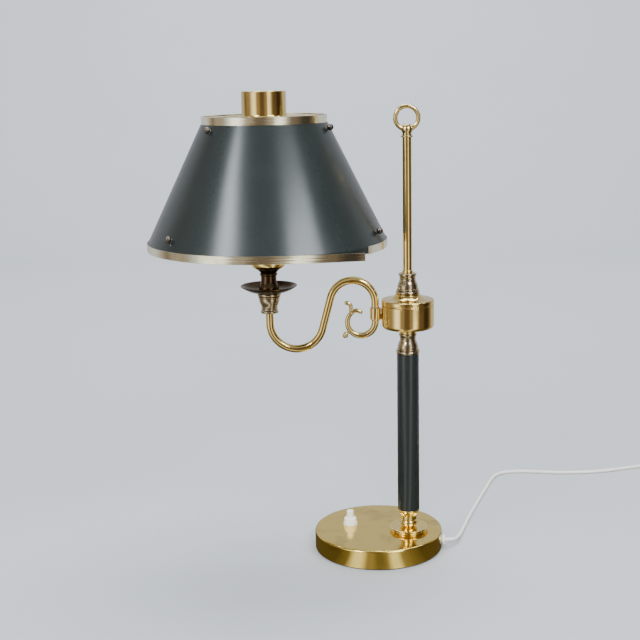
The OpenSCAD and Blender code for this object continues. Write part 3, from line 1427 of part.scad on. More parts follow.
module plug_body() {
    shoulder = relief_len + 5;
    end_r = 3;
    color(IVORY) at_plug() {
        intersection() {
            translate([0, 0, relief_len]) linear_extrude(plug_len) polygon(concat(
                arc([plug_w / 2 - end_r, plug_t / 2 - end_r], end_r, 0, 90, 5),
                arc([-plug_w / 2 + end_r, plug_t / 2 - end_r], end_r, 90, 180, 5),
                arc([-plug_w / 2 + end_r, -plug_t / 2 + end_r], end_r, 180, 270, 5),
                arc([plug_w / 2 - end_r, -plug_t / 2 + end_r], end_r, 270, 360, 5)
            ));
            translate([0, plug_t / 2, 0]) rotate([90, 0, 0]) linear_extrude(plug_t) polygon([
                [-7, relief_len], [7, relief_len],
                [plug_w / 2, shoulder + 6], [plug_w / 2, relief_len + plug_len],
                [-plug_w / 2, relief_len + plug_len], [-plug_w / 2, shoulder + 6]
            ]);
        }
        cylinder(r1 = cord_d / 2 + 0.6, r2 = 4.6, h = relief_len, $fn = FINE);
    }
}

module plug_pins() {
    color(STEEL) at_plug() for (s = [-1, 1])
        translate([s * pin_gap / 2, 0, relief_len + plug_len]) {
            cylinder(d = pin_d, h = pin_len - pin_d / 4, $fn = 32);
            translate([0, 0, pin_len - pin_d / 4])
                cylinder(d1 = pin_d, d2 = pin_d * 0.6, h = pin_d / 4, $fn = 32);
        }
}

base_cover();
base_weight();
felt_pad();
switch_body();
switch_collar();
switch_button();
switch_spring();
cord_bushing();
cord_clamp();
clamp_screws();
inner_cord();
column_lead();
tie_tube();
tie_nut();
tie_washer();
column_foot();
column_tube();
lower_knop();
drum_can();
drum_lid();
upper_knop();
rod_coupler();
upper_rod();
finial_neck();
finial_ring();
hinge_bracket();
bracket_nut();
hinge_washer();
bracket_lead();
wire_splices();
hinge_pin();
arm_tube();
arm_scroll();
arm_lead();
arm_cup();
drip_pan();
candle_cup();
holder_nipple();
holder_cap();
holder_shell();
holder_insert();
screw_shell();
centre_contact();
shade_rings();
bulb_cap();
bulb_glass();
shade_sheet();
shade_frame();
lower_trim();
upper_trim();
shade_knobs();
knob_nuts();
top_plate();
chimney();
supply_cord();
cord_coil();
plug_body();
plug_pins();
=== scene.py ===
"""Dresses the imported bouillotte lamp: turned and spun brass, lacquered sheet, rolled trim and the cord.

Outlines are in millimetres, as (radius, height) from a piece's axis and its lowest point. Everything that is
placed in the scene is in metres, in the frame of the solids.
"""

import math

import bmesh
import bpy
from mathutils import Matrix, Vector


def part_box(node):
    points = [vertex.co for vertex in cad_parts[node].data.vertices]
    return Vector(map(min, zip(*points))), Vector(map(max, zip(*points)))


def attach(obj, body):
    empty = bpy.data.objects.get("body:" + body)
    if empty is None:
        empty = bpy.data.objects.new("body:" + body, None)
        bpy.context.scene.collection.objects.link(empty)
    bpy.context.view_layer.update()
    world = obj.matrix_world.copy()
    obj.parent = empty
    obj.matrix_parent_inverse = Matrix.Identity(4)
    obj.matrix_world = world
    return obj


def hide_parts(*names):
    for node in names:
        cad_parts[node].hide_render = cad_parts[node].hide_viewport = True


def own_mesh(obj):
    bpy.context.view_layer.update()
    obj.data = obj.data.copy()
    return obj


bl_info = {
    "name": "Bouillotte lamp",
    "version": (1, 0, 0),
    "blender": (4, 5, 0),
    "location": "View3D > Sidebar > Lamp",
    "description": "Builds the visible pieces of a bouillotte lamp in the place of its solids",
    "category": "Object",
}

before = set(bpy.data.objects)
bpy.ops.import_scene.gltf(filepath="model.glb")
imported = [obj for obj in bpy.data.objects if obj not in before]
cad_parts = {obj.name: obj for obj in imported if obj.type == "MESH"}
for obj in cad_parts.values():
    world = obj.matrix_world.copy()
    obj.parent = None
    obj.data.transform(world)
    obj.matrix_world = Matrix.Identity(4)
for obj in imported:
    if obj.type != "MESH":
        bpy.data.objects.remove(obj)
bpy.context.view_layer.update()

MM = 0.001
TURNING = "Turning"      # UV map of turned pieces: u round the axis, v along the outline
TINY = 1e-6              # what counts as nothing
STRAIGHT = math.radians(158)     # a corner that is flatter than this isn't rounded


# ---- Places, taken from the solids ----

def middle(node):
    """The middle of a solid's box."""
    low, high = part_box(node)
    return (low + high) / 2


def bottom(node):
    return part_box(node)[0].z


def top(node):
    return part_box(node)[1].z


def radius_mm(node):
    low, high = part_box(node)
    return (high.x - low.x) / 2 / MM


def height_mm(node):
    low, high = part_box(node)
    return (high.z - low.z) / MM


BASE = Vector((0, 0, 0))             # the base's axis
COLUMN = middle("column_tube")       # the column's axis
LIGHT = middle("chimney")            # the light's axis
HINGE = middle("hinge_washer")       # the hinge's axis
SWITCH = middle("switch_collar")     # the push switch's axis
SPRING_WIRE = 0.6 * MM               # the wire of the switch's spring
OUTLET_TURN = Matrix.Rotation(math.radians(-6), 4, "Z")      # the cord's outlet, round the base
OUTLET = OUTLET_TURN @ Vector((radius_mm("base_cover") * MM, 0, 0)) + Vector((0, 0, middle("cord_bushing").z))
TUBE_WAY = 5.1                       # radius of the hole for a 10 mm tube
KNOP_H = 23.5                        # height of the vase-shaped knops
ARM_R = 4.3 * MM                     # radius of the arm's tube


# ---- Sizes and colours that a user would change ----

def length(name, text, default_mm, low_mm, high_mm):
    return bpy.props.FloatProperty(
        name=name, description=text, default=default_mm * MM, min=low_mm * MM, max=high_mm * MM,
        subtype="DISTANCE", unit="LENGTH", precision=5)


def colour(name, text, value):
    return bpy.props.FloatVectorProperty(
        name=name, description=text, default=value, size=3, min=0, max=1, subtype="COLOR")


def share(name, text, default):
    return bpy.props.FloatProperty(
        name=name, description=text, default=default, min=0, max=1, subtype="FACTOR")


class LampSizes(bpy.types.PropertyGroup):
    cord_d: length("Cord", "Diameter of the supply cord", 4.2, 4, 5)
    coil_pitch: length("Turn spacing", "Distance between the coil's turns", 4.2, 4, 6)
    edge: bpy.props.FloatProperty(
        name="Edge softness", description="Share of its usual rounding that each turned edge has",
        default=1, min=0.2, max=2)
    band_rib: length("Trim rib", "Height of the fine ribs along the trim bands", 0.12, 0, 0.3)
    knob_neck: length("Knob neck", "Length of the neck under each ball-headed knob", 1.1, 0.5, 3)
    sides: bpy.props.IntProperty(
        name="Sides", description="Facets round a turned piece", default=128, min=24, max=256)


class LampFinishes(bpy.types.PropertyGroup):
    polished: colour("Polished brass", "Drum, arm, rod, top plate and chimney", (0.86, 0.64, 0.235))
    base: colour("Base brass", "Cover of the base", (0.87, 0.635, 0.16))
    gilt: colour("Gilt brass", "Foot, coupler and lamp holder", (1.0, 0.77, 0.27))
    old_gilt: colour("Old gilt brass", "Scroll, finial and lifting ring", (0.80, 0.63, 0.27))
    antique: colour("Antique brass", "Vase-shaped knops and the arm cup", (0.52, 0.44, 0.30))
    pale: colour("Pale brass", "Trim bands", (0.99, 0.96, 0.72))
    bronze: colour("Dark bronze", "Drip pan and candle cup", (0.10, 0.062, 0.035))
    knob: colour("Knob bronze", "Ball-headed knobs", (0.15, 0.125, 0.11))
    lacquer: colour("Green lacquer", "Shade and column", (0.0135, 0.0175, 0.0165))
    inside: colour("Shade lining", "Paint on the inside of the shade", (0.82, 0.80, 0.74))
    ivory: colour("Ivory plastic", "Switch, bushing and plug", (0.95, 0.92, 0.80))
    sheath: colour("Cord sheath", "Supply cord", (0.84, 0.81, 0.74))
    wear: share("Wear", "How worn and handled the finishes look", 0.5)


# ---- Meshes ----

def arc(centre, radius, start, end, n=10):
    """Points on an arc between two angles in degrees."""
    turns = [math.radians(start + (end - start) * i / n) for i in range(n + 1)]
    return [(centre[0] + radius * math.cos(a), centre[1] + radius * math.sin(a)) for a in turns]


def ogee(a, b, n=14, full=1.0):
    """Points on an S-curve that is upright at both ends; full above 1 keeps it out longer at its start."""
    eases = [(1 - math.cos(math.pi * (i / n) ** full)) / 2 for i in range(n + 1)]
    return [(a[0] + (b[0] - a[0]) * ease, a[1] + (b[1] - a[1]) * i / n) for i, ease in enumerate(eases)]


def bead(base, out, z0, z1, n=12):
    """Points on a half-round bead between two heights."""
    turns = [math.pi * i / n for i in range(n + 1)]
    return [(base + (out - base) * math.sin(a), z0 + (z1 - z0) * (1 - math.cos(a)) / 2) for a in turns]


def eased(outline, radius):
    """The closed outline with each corner rounded over that radius."""
    count, steps = len(outline), 3
    points = []
    for i, place in enumerate(outline):
        corner = Vector(place)
        back, on = Vector(outline[i - 1]) - corner, Vector(outline[(i + 1) % count]) - corner
        short = min(back.length, on.length) < TINY
        if short or place[0] < TINY or back.angle(on) > STRAIGHT:
            points.append(place)
            continue
        reach = min(radius, back.length * 0.45, on.length * 0.45)
        start, end = corner + back.normalized() * reach, corner + on.normalized() * reach
        for k in range(steps + 1):
            t = k / steps
            p = start * (1 - t) ** 2 + corner * 2 * t * (1 - t) + end * t ** 2
            points.append((p.x, p.y))
    return points


def mesh_of(form, name):
    """Turns a bmesh into a mesh with its faces outward; the bmesh is used up."""
    bmesh.ops.recalc_face_normals(form, faces=form.faces)
    mesh = bpy.data.meshes.new(name)
    form.to_mesh(mesh)
    form.free()
    return mesh


def bridge(form, rows):
    """Faces from each closed row of points to the next."""
    made = []
    for row, after in zip(rows, rows[1:]):
        for k in range(len(row)):
            j = (k + 1) % len(row)
            made.append(form.faces.new((row[k], row[j], after[j], after[k])))
    return made


def placed(obj):
    """Puts an object in the scene."""
    bpy.context.scene.collection.objects.link(obj)
    return obj


def finish_mesh(mesh, sharp=32):
    """Smooths a mesh and keeps its sharp edges."""
    mesh.validate()
    mesh.shade_smooth()
    mesh.set_sharp_from_angle(angle=math.radians(sharp))
    return mesh


def turned_mesh(name, outline, axis, sides):
    """Spins a closed outline in millimetres round an upright axis that starts at the point axis."""
    form = bmesh.new()
    rings = []
    for r, z in outline:
        count = 1 if r < TINY else sides
        rings.append([
            form.verts.new((axis[0] + r * MM * math.cos(2 * math.pi * k / sides),
                            axis[1] + r * MM * math.sin(2 * math.pi * k / sides), axis[2] + z * MM))
            for k in range(count)])
    uv = form.loops.layers.uv.new(TURNING)
    along = 0.0
    for i, ring in enumerate(rings):
        following = rings[(i + 1) % len(rings)]
        a, b = Vector(outline[i]), Vector(outline[(i + 1) % len(rings)])
        step = (b - a).length * MM
        if len(ring) == 1 and len(following) == 1:
            continue
        for k in range(sides):
            j = (k + 1) % sides
            corners = [(ring[k % len(ring)], k, 0), (ring[j % len(ring)], k + 1, 0),
                       (following[j % len(following)], k + 1, 1), (following[k % len(following)], k, 1)]
            if len(ring) == 1:
                corners.pop(1)
            if len(following) == 1:
                corners.pop(2)
            face = form.faces.new([c[0] for c in corners])
            for loop, (_, turn, far) in zip(face.loops, corners):
                loop[uv].uv = (turn / sides, along + step * far)
        along += step
    return finish_mesh(mesh_of(form, name))


def line_object(name, points, thickness=None):
    """A line of points as a mesh of edges, with a thickness at each point."""
    mesh = bpy.data.meshes.new(name)
    mesh.from_pydata([tuple(p) for p in points], [(i, i + 1) for i in range(len(points) - 1)], [])
    widths = mesh.attributes.new("thickness", "FLOAT", "POINT")
    widths.data.foreach_set("value", thickness or [1.0] * len(points))
    return placed(bpy.data.objects.new(name, mesh))


def posts_object(name, places):
    """A point for each place, with the direction that its piece stands along."""
    mesh = bpy.data.meshes.new(name)
    mesh.from_pydata([tuple(p) for p, _ in places], [], [])
    out = mesh.attributes.new("out", "FLOAT_VECTOR", "POINT")
    out.data.foreach_set("vector", [c for _, way in places for c in way])
    return placed(bpy.data.objects.new(name, mesh))


# ---- Geometry Nodes ----

def fill(tree, node, inputs):
    """Gives a node's inputs their values or links."""
    for key, value in inputs.items():
        if isinstance(value, bpy.types.NodeSocket):
            tree.links.new(value, node.inputs[key])
        else:
            node.inputs[key].default_value = value


def put(tree, kind, inputs=None, **settings):
    """Adds a node, sets it, and fills its inputs with values or links."""
    node = tree.nodes.new(kind)
    node.location = (190 * (len(tree.nodes) % 12), -230 * (len(tree.nodes) // 12))
    for key, value in settings.items():
        setattr(node, key, value)
    fill(tree, node, inputs or {})
    return node


def node_tree(name, kind, inputs, outputs):
    """A node group with named sockets: (name, socket type, default)."""
    tree = bpy.data.node_groups.new(name, kind)
    for label, socket, default in inputs:
        made = tree.interface.new_socket(label, in_out="INPUT", socket_type=socket)
        if default is not None:
            made.default_value = default
    for label, socket in outputs:
        tree.interface.new_socket(label, in_out="OUTPUT", socket_type=socket)
    return tree


def end_tree(tree, start, shape):
    """Realizes the shape, gives it the tree's material and puts it out."""
    shaded = put(tree, "GeometryNodeSetShadeSmooth", {"Geometry": shape, "Shade Smooth": True})
    real = put(tree, "GeometryNodeRealizeInstances", {"Geometry": shaded.outputs[0]})
    dressed = put(tree, "GeometryNodeSetMaterial",
                  {"Geometry": real.outputs[0], "Material": start.outputs["Material"]})
    put(tree, "NodeGroupOutput", {"Geometry": dressed.outputs[0]})


def bar_tree():
    """A round bar that follows a line and takes each point's own thickness."""
    tree = node_tree("Round bar along a line", "GeometryNodeTree", [
        ("Geometry", "NodeSocketGeometry", None), ("Radius", "NodeSocketFloat", 0.004),
        ("Sides", "NodeSocketInt", 32), ("Material", "NodeSocketMaterial", None),
    ], [("Geometry", "NodeSocketGeometry")])
    start = put(tree, "NodeGroupInput")
    curve = put(tree, "GeometryNodeMeshToCurve", {"Mesh": start.outputs["Geometry"]})
    width = put(tree, "GeometryNodeInputNamedAttribute", {"Name": "thickness"}, data_type="FLOAT")
    sized = put(tree, "GeometryNodeSetCurveRadius",
                {"Curve": curve.outputs[0], "Radius": width.outputs["Attribute"]})
    ring = put(tree, "GeometryNodeCurvePrimitiveCircle",
               {"Resolution": start.outputs["Sides"], "Radius": start.outputs["Radius"]}, mode="RADIUS")
    bar = put(tree, "GeometryNodeCurveToMesh",
              {"Curve": sized.outputs[0], "Profile Curve": ring.outputs[0], "Fill Caps": True})
    if "Scale" in bar.inputs:
        tree.links.new(width.outputs["Attribute"], bar.inputs["Scale"])
    end_tree(tree, start, bar.outputs[0])
    return tree


def posts_tree():
    """One piece repeated on posts, each standing along its post's direction."""
    tree = node_tree("Piece on every post", "GeometryNodeTree", [
        ("Geometry", "NodeSocketGeometry", None), ("Piece", "NodeSocketObject", None),
        ("Material", "NodeSocketMaterial", None),
    ], [("Geometry", "NodeSocketGeometry")])
    start = put(tree, "NodeGroupInput")
    way = put(tree, "GeometryNodeInputNamedAttribute", {"Name": "out"}, data_type="FLOAT_VECTOR")
    turn = put(tree, "FunctionNodeAlignRotationToVector", {"Vector": way.outputs["Attribute"]}, axis="Z")
    piece = put(tree, "GeometryNodeObjectInfo", {"Object": start.outputs["Piece"]})
    posts = put(tree, "GeometryNodeMeshToPoints", {"Mesh": start.outputs["Geometry"]})
    stood = put(tree, "GeometryNodeInstanceOnPoints", {
        "Points": posts.outputs[0], "Instance": piece.outputs["Geometry"],
        "Rotation": turn.outputs["Rotation"]})
    end_tree(tree, start, stood.outputs[0])
    return tree


TREES = {"bar": bar_tree, "posts": posts_tree}


def plain(obj):
    """The object's evaluated shape as a mesh of its own; the object is used up."""
    graph = bpy.context.evaluated_depsgraph_get()
    graph.update()
    mesh = bpy.data.meshes.new_from_object(obj.evaluated_get(graph))
    bpy.data.objects.remove(obj)
    return mesh


def shaped(obj, kind, look, **values):
    """Runs a tree on the object and returns its result as a plain mesh; the object is used up."""
    values["Material"] = finishes()[look]
    tree = bpy.data.node_groups.get(kind) or TREES[kind]()
    tree.name = kind
    change = obj.modifiers.new(kind, "NODES")
    change.node_group = tree
    for item in tree.interface.items_tree:
        if item.in_out == "INPUT" and item.name in values:
            change[item.identifier] = values[item.name]
    mesh = plain(obj)
    if not len(mesh.polygons):
        raise RuntimeError(f"the tree {kind} made no faces")
    return finish_mesh(mesh)


def piece(name, mesh, node, body, slot, look=None):
    """Puts a finished mesh in the scene in the place of its solid; its look is named like its slot."""
    if not len(mesh.polygons):
        raise RuntimeError(f"{name} has no faces")
    mesh.name = name
    if not any(m for m in mesh.materials):
        mesh.materials.clear()
        mesh.materials.append(finishes()[look or slot])
    obj = placed(bpy.data.objects.new(name, mesh))
    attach(obj, body)
    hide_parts(node)
    return obj


def turned(name, outline, axis, node, body, slot, edge, look=None, z=None):
    """Turns an outline round an upright axis, from its solid's lowest point or from z."""
    start = (axis.x, axis.y, bottom(node) if z is None else z)
    sizes = bpy.context.scene.lamp_sizes
    mesh = turned_mesh(name, eased(outline, edge * sizes.edge), start, sizes.sides)
    return piece(name, mesh, node, body, slot, look)


def dress(look, *nodes):
    """Gives solids that stay as they are their finish."""
    for node in nodes:
        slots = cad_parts[node].data.materials
        slots.clear()
        slots.append(finishes()[look])


# ---- Shader groups ----

def calc(tree, operation, *values):
    """The result of a Math node on values or links."""
    return put(tree, "ShaderNodeMath", dict(enumerate(values)), operation=operation).outputs[0]


def ranged(tree, value, low, high, to_low=0.0, to_high=1.0):
    """A value between low and high, carried over to between to_low and to_high and kept there."""
    ends = {"Value": value, "From Min": low, "From Max": high, "To Min": to_low, "To Max": to_high}
    return put(tree, "ShaderNodeMapRange", ends).outputs[0]


def here(tree):
    """The place on the piece, in its own coordinates."""
    return put(tree, "ShaderNodeTexCoord").outputs["Object"]


def noise(tree, place, scale, detail, **more):
    """Soft noise from 0 to 1."""
    inputs = {"Vector": place, "Scale": scale, "Detail": detail, **more}
    return put(tree, "ShaderNodeTexNoise", inputs).outputs["Fac"]


def stains_mask(tree, given):
    """Cloudy patches, from 0 to 1."""
    cloud = noise(tree, here(tree), given["Scale"], 6.0, Roughness=0.6, Distortion=0.4)
    low = ranged(tree, calc(tree, "SUBTRACT", 1.0, given["Amount"]), 0.0, 1.0, 0.25, 0.65)
    return ranged(tree, cloud, low, calc(tree, "ADD", low, 0.22))


def specks_mask(tree, given):
    """Small round pits and dots scattered over the surface."""
    cells = put(tree, "ShaderNodeTexVoronoi", {"Vector": here(tree), "Scale": given["Scale"]})
    pick = put(tree, "ShaderNodeSeparateColor", {0: cells.outputs["Color"]})
    chosen = calc(tree, "LESS_THAN", pick.outputs[0], given["Share"])
    return calc(tree, "MULTIPLY", chosen, calc(tree, "LESS_THAN", cells.outputs["Distance"], given["Size"]))


def hairlines_mask(tree, given):
    """Long fine scratches that run in two directions, with gaps."""
    place, lines = here(tree), []
    for turn, stretch in (((0.3, 0.5, 0.4), (1, 1, 0.06)), ((1.1, 0.2, 2.1), (1, 0.05, 1))):
        mapped = put(tree, "ShaderNodeMapping", {"Vector": place, "Rotation": turn, "Scale": stretch})
        cells = put(tree, "ShaderNodeTexVoronoi", {"Vector": mapped.outputs[0], "Scale": given["Scale"]},
                    feature="DISTANCE_TO_EDGE")
        lines.append(calc(tree, "LESS_THAN", cells.outputs["Distance"], given["Width"]))
    some = ranged(tree, noise(tree, place, 45.0, 2.0), 0.52, 0.66)
    return calc(tree, "MULTIPLY", calc(tree, "MAXIMUM", *lines), some)


def rings_height(tree, given):
    """The fine rings that a lathe or a spinning tool leaves, along the turning map."""
    place = put(tree, "ShaderNodeUVMap", uv_map=TURNING)
    along = put(tree, "ShaderNodeSeparateXYZ", {0: place.outputs[0]}).outputs["Y"]
    inputs = {"W": calc(tree, "MULTIPLY", along, given["Rings"]), "Scale": 1.0, "Detail": 3.0}
    return put(tree, "ShaderNodeTexNoise", inputs, noise_dimensions="1D").outputs["Fac"]


def wear_mask(tree, given):
    """Edges that handling has rubbed bright."""
    shape = put(tree, "ShaderNodeNewGeometry")
    edge = ranged(tree, shape.outputs["Pointiness"], 0.52, 0.6)
    return calc(tree, "MULTIPLY", calc(tree, "MULTIPLY", edge, noise(tree, here(tree), 120.0, 3.0)),
                given["Amount"])


def groove_shade_mask(tree, given):
    """Narrow grooves and inner corners, whose colour is darkened there as painted shade."""
    shape = put(tree, "ShaderNodeNewGeometry")
    return calc(tree, "MULTIPLY", ranged(tree, shape.outputs["Pointiness"], 0.495, 0.455), given["Amount"])


def dust_mask(tree, given):
    """A thin veil of dust on what faces up."""
    shape = put(tree, "ShaderNodeNewGeometry")
    way = put(tree, "ShaderNodeSeparateXYZ", {0: shape.outputs["Normal"]})
    up = ranged(tree, way.outputs["Z"], 0.2, 1.0)
    grains = ranged(tree, noise(tree, here(tree), 260.0, 4.0), 0.45, 0.75)
    return calc(tree, "MULTIPLY", calc(tree, "MULTIPLY", up, grains), given["Amount"])


# Each shared effect's function and its inputs' defaults
EFFECTS = {
    "Stains": (stains_mask, {"Scale": 20.0, "Amount": 0.5}),
    "Specks": (specks_mask, {"Scale": 200.0, "Share": 0.1, "Size": 0.2}),
    "Hairlines": (hairlines_mask, {"Scale": 30.0, "Width": 0.02}),
    "Turning rings": (rings_height, {"Rings": 1500.0}),
    "Edge wear": (wear_mask, {"Amount": 0.5}),
    "Groove shade": (groove_shade_mask, {"Amount": 0.5}),
    "Dust": (dust_mask, {"Amount": 0.3}),
}


def effect_group(name):
    """Makes the node group of a shared effect."""
    worked_out, inputs = EFFECTS[name]
    sockets = [(label, "NodeSocketFloat", value) for label, value in inputs.items()]
    tree = node_tree(name, "ShaderNodeTree", sockets, [("Value", "NodeSocketFloat")])
    start = put(tree, "NodeGroupInput")
    put(tree, "NodeGroupOutput", {"Value": worked_out(tree, start.outputs)})
    return tree


def effect(tree, name, **inputs):
    """Places one of the shared effects and returns its output."""
    group = bpy.data.node_groups.get(name) or effect_group(name)
    given = {label.title(): value for label, value in inputs.items()}
    return put(tree, "ShaderNodeGroup", given, node_tree=group).outputs[0]


# ---- Materials ----

def new_material(name):
    """A material with an empty tree, and its shader linked to its output."""
    made = bpy.data.materials.new(name)
    made.use_nodes = True
    tree = made.node_tree
    tree.nodes.clear()
    end = put(tree, "ShaderNodeOutputMaterial")
    shader = put(tree, "ShaderNodeBsdfPrincipled")
    tree.links.new(shader.outputs[0], end.inputs["Surface"])
    return made, tree, shader


def kept(make):
    """A material is made once, and after that it is found by its name."""
    def find(name, *values, **settings):
        return bpy.data.materials.get(name) or make(name, *values, **settings)
    return find


def blended(tree, mask, a, b):
    """Colour a, changing to colour b where the mask is 1."""
    return put(tree, "ShaderNodeMix", {0: mask, 6: a, 7: b}, data_type="RGBA").outputs[2]


def rgba(value):
    """A colour as a socket takes it."""
    return (*[min(1.0, c) for c in value], 1.0)


def summed(tree, base, *terms):
    """base plus each mask times its weight."""
    for mask, weight in terms:
        base = calc(tree, "MULTIPLY_ADD", mask, weight, base)
    return base


def surfaced(tree, shader, base, rough, height=None, strength=0.3, depth=0.2 * MM):
    """Gives a shader its colour, its roughness and its bump."""
    fill(tree, shader, {"Base Color": base, "Roughness": rough})
    if height is not None:
        bump = put(tree, "ShaderNodeBump", {"Height": height, "Strength": strength, "Distance": depth})
        fill(tree, shader, {"Normal": bump.outputs[0]})


@kept
def metal(name, tint, roughness, stain=0.35, stain_tint=None, rubbed_tint=None, rings=0.0, bumps=0.0,
          scratch=0.05, grooves=0.4):
    """Brass, bronze or steel: stains, hairlines, rubbed edges, painted shade in its grooves and a little
    dust.
    """
    wear = bpy.context.scene.lamp_finishes.wear
    made, tree, shader = new_material(name)
    shader.inputs["Metallic"].default_value = 1.0
    clouds = effect(tree, "Stains", scale=34.0, amount=stain)
    pits = effect(tree, "Specks", scale=260.0, share=0.03 * wear, size=0.14)
    lines = effect(tree, "Hairlines", scale=30.0, width=0.006)
    rubbed = effect(tree, "Edge wear", amount=0.8 * wear)
    veil = effect(tree, "Dust", amount=0.05 * wear)
    base = blended(tree, clouds, rgba(tint), rgba(stain_tint or [c * 0.72 for c in tint]))
    base = blended(tree, rubbed, base, rgba(rubbed_tint or [0.35 + 0.65 * c for c in tint]))
    base = blended(tree, pits, base, rgba([c * 0.3 for c in tint]))
    # painted shade: the colour is darkened in narrow grooves and inner corners
    base = blended(tree, effect(tree, "Groove shade", amount=grooves), base, rgba([c * c * 0.45 for c in tint]))
    base = blended(tree, veil, base, (0.5, 0.48, 0.44, 1.0))
    rough = summed(tree, roughness, (clouds, 0.07), (lines, scratch), (veil, 0.5), (pits, 0.4))
    height = summed(tree, 0.0, (lines, -0.12), (pits, -0.8))
    if rings:
        height = summed(tree, height, (effect(tree, "Turning rings", rings=1400.0), rings))
    if bumps:
        height = summed(tree, height, (noise(tree, here(tree), 420.0, 4.0), bumps))
    surfaced(tree, shader, base, rough, height, 0.35)
    return made


@kept
def painted(name, tint, roughness, scuffs=0.3, waves=0.0):
    """Stoved lacquer or paint: orange peel, cloudy patches, chips down to grey, and dust."""
    wear = bpy.context.scene.lamp_finishes.wear
    made, tree, shader = new_material(name)
    place = here(tree)
    clouds = effect(tree, "Stains", scale=16.0, amount=0.4)
    chips = effect(tree, "Specks", scale=110.0, share=0.02 * wear, size=0.08)
    veil = effect(tree, "Dust", amount=0.04 * wear)
    base = blended(tree, clouds, rgba(tint), rgba([c * 1.1 + 0.001 for c in tint]))
    base = blended(tree, chips, base, (0.42, 0.42, 0.4, 1.0))
    base = blended(tree, veil, base, (0.4, 0.4, 0.38, 1.0))
    rough = summed(tree, roughness, (clouds, 0.02), (veil, 0.1 * scuffs))
    height = summed(tree, 0.0, (noise(tree, place, 900.0, 2.0), 0.018), (chips, -0.8))
    if waves:
        height = summed(tree, height, (noise(tree, place, 17.0, 1.0), waves))
    surfaced(tree, shader, base, rough, height, 0.4, 0.4 * MM)
    return made


@kept
def moulded(name, tint, roughness, grain=0.0, yellowed=0.3):
    """Plastic, vinyl or glazed ceramic: slightly yellowed, with faint flow marks."""
    made, tree, shader = new_material(name)
    clouds = effect(tree, "Stains", scale=60.0, amount=yellowed)
    specks = effect(tree, "Specks", scale=300.0, share=0.03, size=0.1)
    veil = effect(tree, "Dust", amount=0.15)
    base = blended(tree, clouds, rgba(tint), rgba((tint[0] * 0.97, tint[1] * 0.93, tint[2] * 0.84)))
    base = blended(tree, specks, base, rgba([c * 0.6 for c in tint]))
    base = blended(tree, veil, base, (0.45, 0.44, 0.4, 1.0))
    rough = summed(tree, roughness, (clouds, 0.05), (veil, 0.3))
    fill(tree, shader, {"Subsurface Weight": 0.08, "Subsurface Radius": (0.004, 0.003, 0.002)})
    height = summed(tree, 0.0, (noise(tree, here(tree), 1200.0, 3.0), 0.06 + grain))
    surfaced(tree, shader, base, rough, height)
    return made


@kept
def felted(name):
    """Dense felt: dark and light fibres."""
    made, tree, shader = new_material(name)
    fibres = noise(tree, here(tree), 1500.0, 6.0)
    base = blended(tree, fibres, (0.012, 0.014, 0.012, 1.0), (0.05, 0.055, 0.05, 1.0))
    surfaced(tree, shader, base, 0.95, fibres, 0.8, 0.4 * MM)
    return made


@kept
def frosted(name):
    """Etched glass with a little dust on it."""
    made, tree, shader = new_material(name)
    frost = noise(tree, here(tree), 700.0, 3.0)
    base = blended(tree, effect(tree, "Dust", amount=0.2), (0.95, 0.94, 0.9, 1.0), (0.6, 0.58, 0.54, 1.0))
    surfaced(tree, shader, base, summed(tree, 0.42, (frost, 0.12)))
    fill(tree, shader, {"Transmission Weight": 0.7, "IOR": 1.45})
    return made


def finishes():
    """The materials by their maker's names."""
    f = bpy.context.scene.lamp_finishes
    return {
        "polished_brass": metal("Polished brass", f.polished, 0.10, rings=0.05),
        "arm_brass": metal("Drawn brass", f.polished, 0.12, scratch=0.08),
        "base_brass": metal("Base brass", f.base, 0.11, rubbed_tint=(0.93, 0.74, 0.32), rings=0.03),
        "gilt_brass": metal("Gilt brass", f.gilt, 0.16, stain=0.25, grooves=0.8),
        "old_gilt": metal("Old gilt brass", f.old_gilt, 0.17, stain=0.25, grooves=0.5),
        "antique_brass": metal("Antique brass", f.antique, 0.15, stain=0.22,
                               stain_tint=(0.36, 0.28, 0.16), rings=0.03, grooves=0.9),
        "pale_brass": metal("Pale brass", f.pale, 0.16, stain=0.3, stain_tint=(0.72, 0.60, 0.34)),
        "dark_bronze": metal("Dark bronze", f.bronze, 0.17, stain=0.5, stain_tint=(0.06, 0.035, 0.022),
                             rubbed_tint=(0.62, 0.44, 0.18), rings=0.05),
        "knob_bronze": metal("Knob bronze", f.knob, 0.14, stain=0.3),
        "green_lacquer": painted("Green lacquer", f.lacquer, 0.26, waves=2.2),
        "column_lacquer": painted("Column lacquer", f.lacquer, 0.22),
        "lining": painted("Shade lining", f.inside, 0.6, scuffs=0.1),
        "ivory_plastic": moulded("Ivory plastic", f.ivory, 0.28),
        "porcelain": moulded("Porcelain", (0.85, 0.83, 0.78), 0.12, yellowed=0.1),
        "cord_sheath": moulded("Cord sheath", f.sheath, 0.45, grain=0.1),
        "steel": metal("Zinc plated steel", (0.5, 0.51, 0.52), 0.32, stain=0.5, scratch=0.15),
        "iron": metal("Cast iron", (0.12, 0.12, 0.125), 0.55, stain=0.6, bumps=0.8),
        "plated_pins": metal("Nickel plate", (0.68, 0.67, 0.64), 0.16, stain=0.2),
        "bulb_metal": metal("Rolled aluminium", (0.62, 0.63, 0.64), 0.25, stain=0.3),
        "felt": felted("Felt"),
        "frosted_glass": frosted("Frosted glass"),
    }


# ---- Operators ----

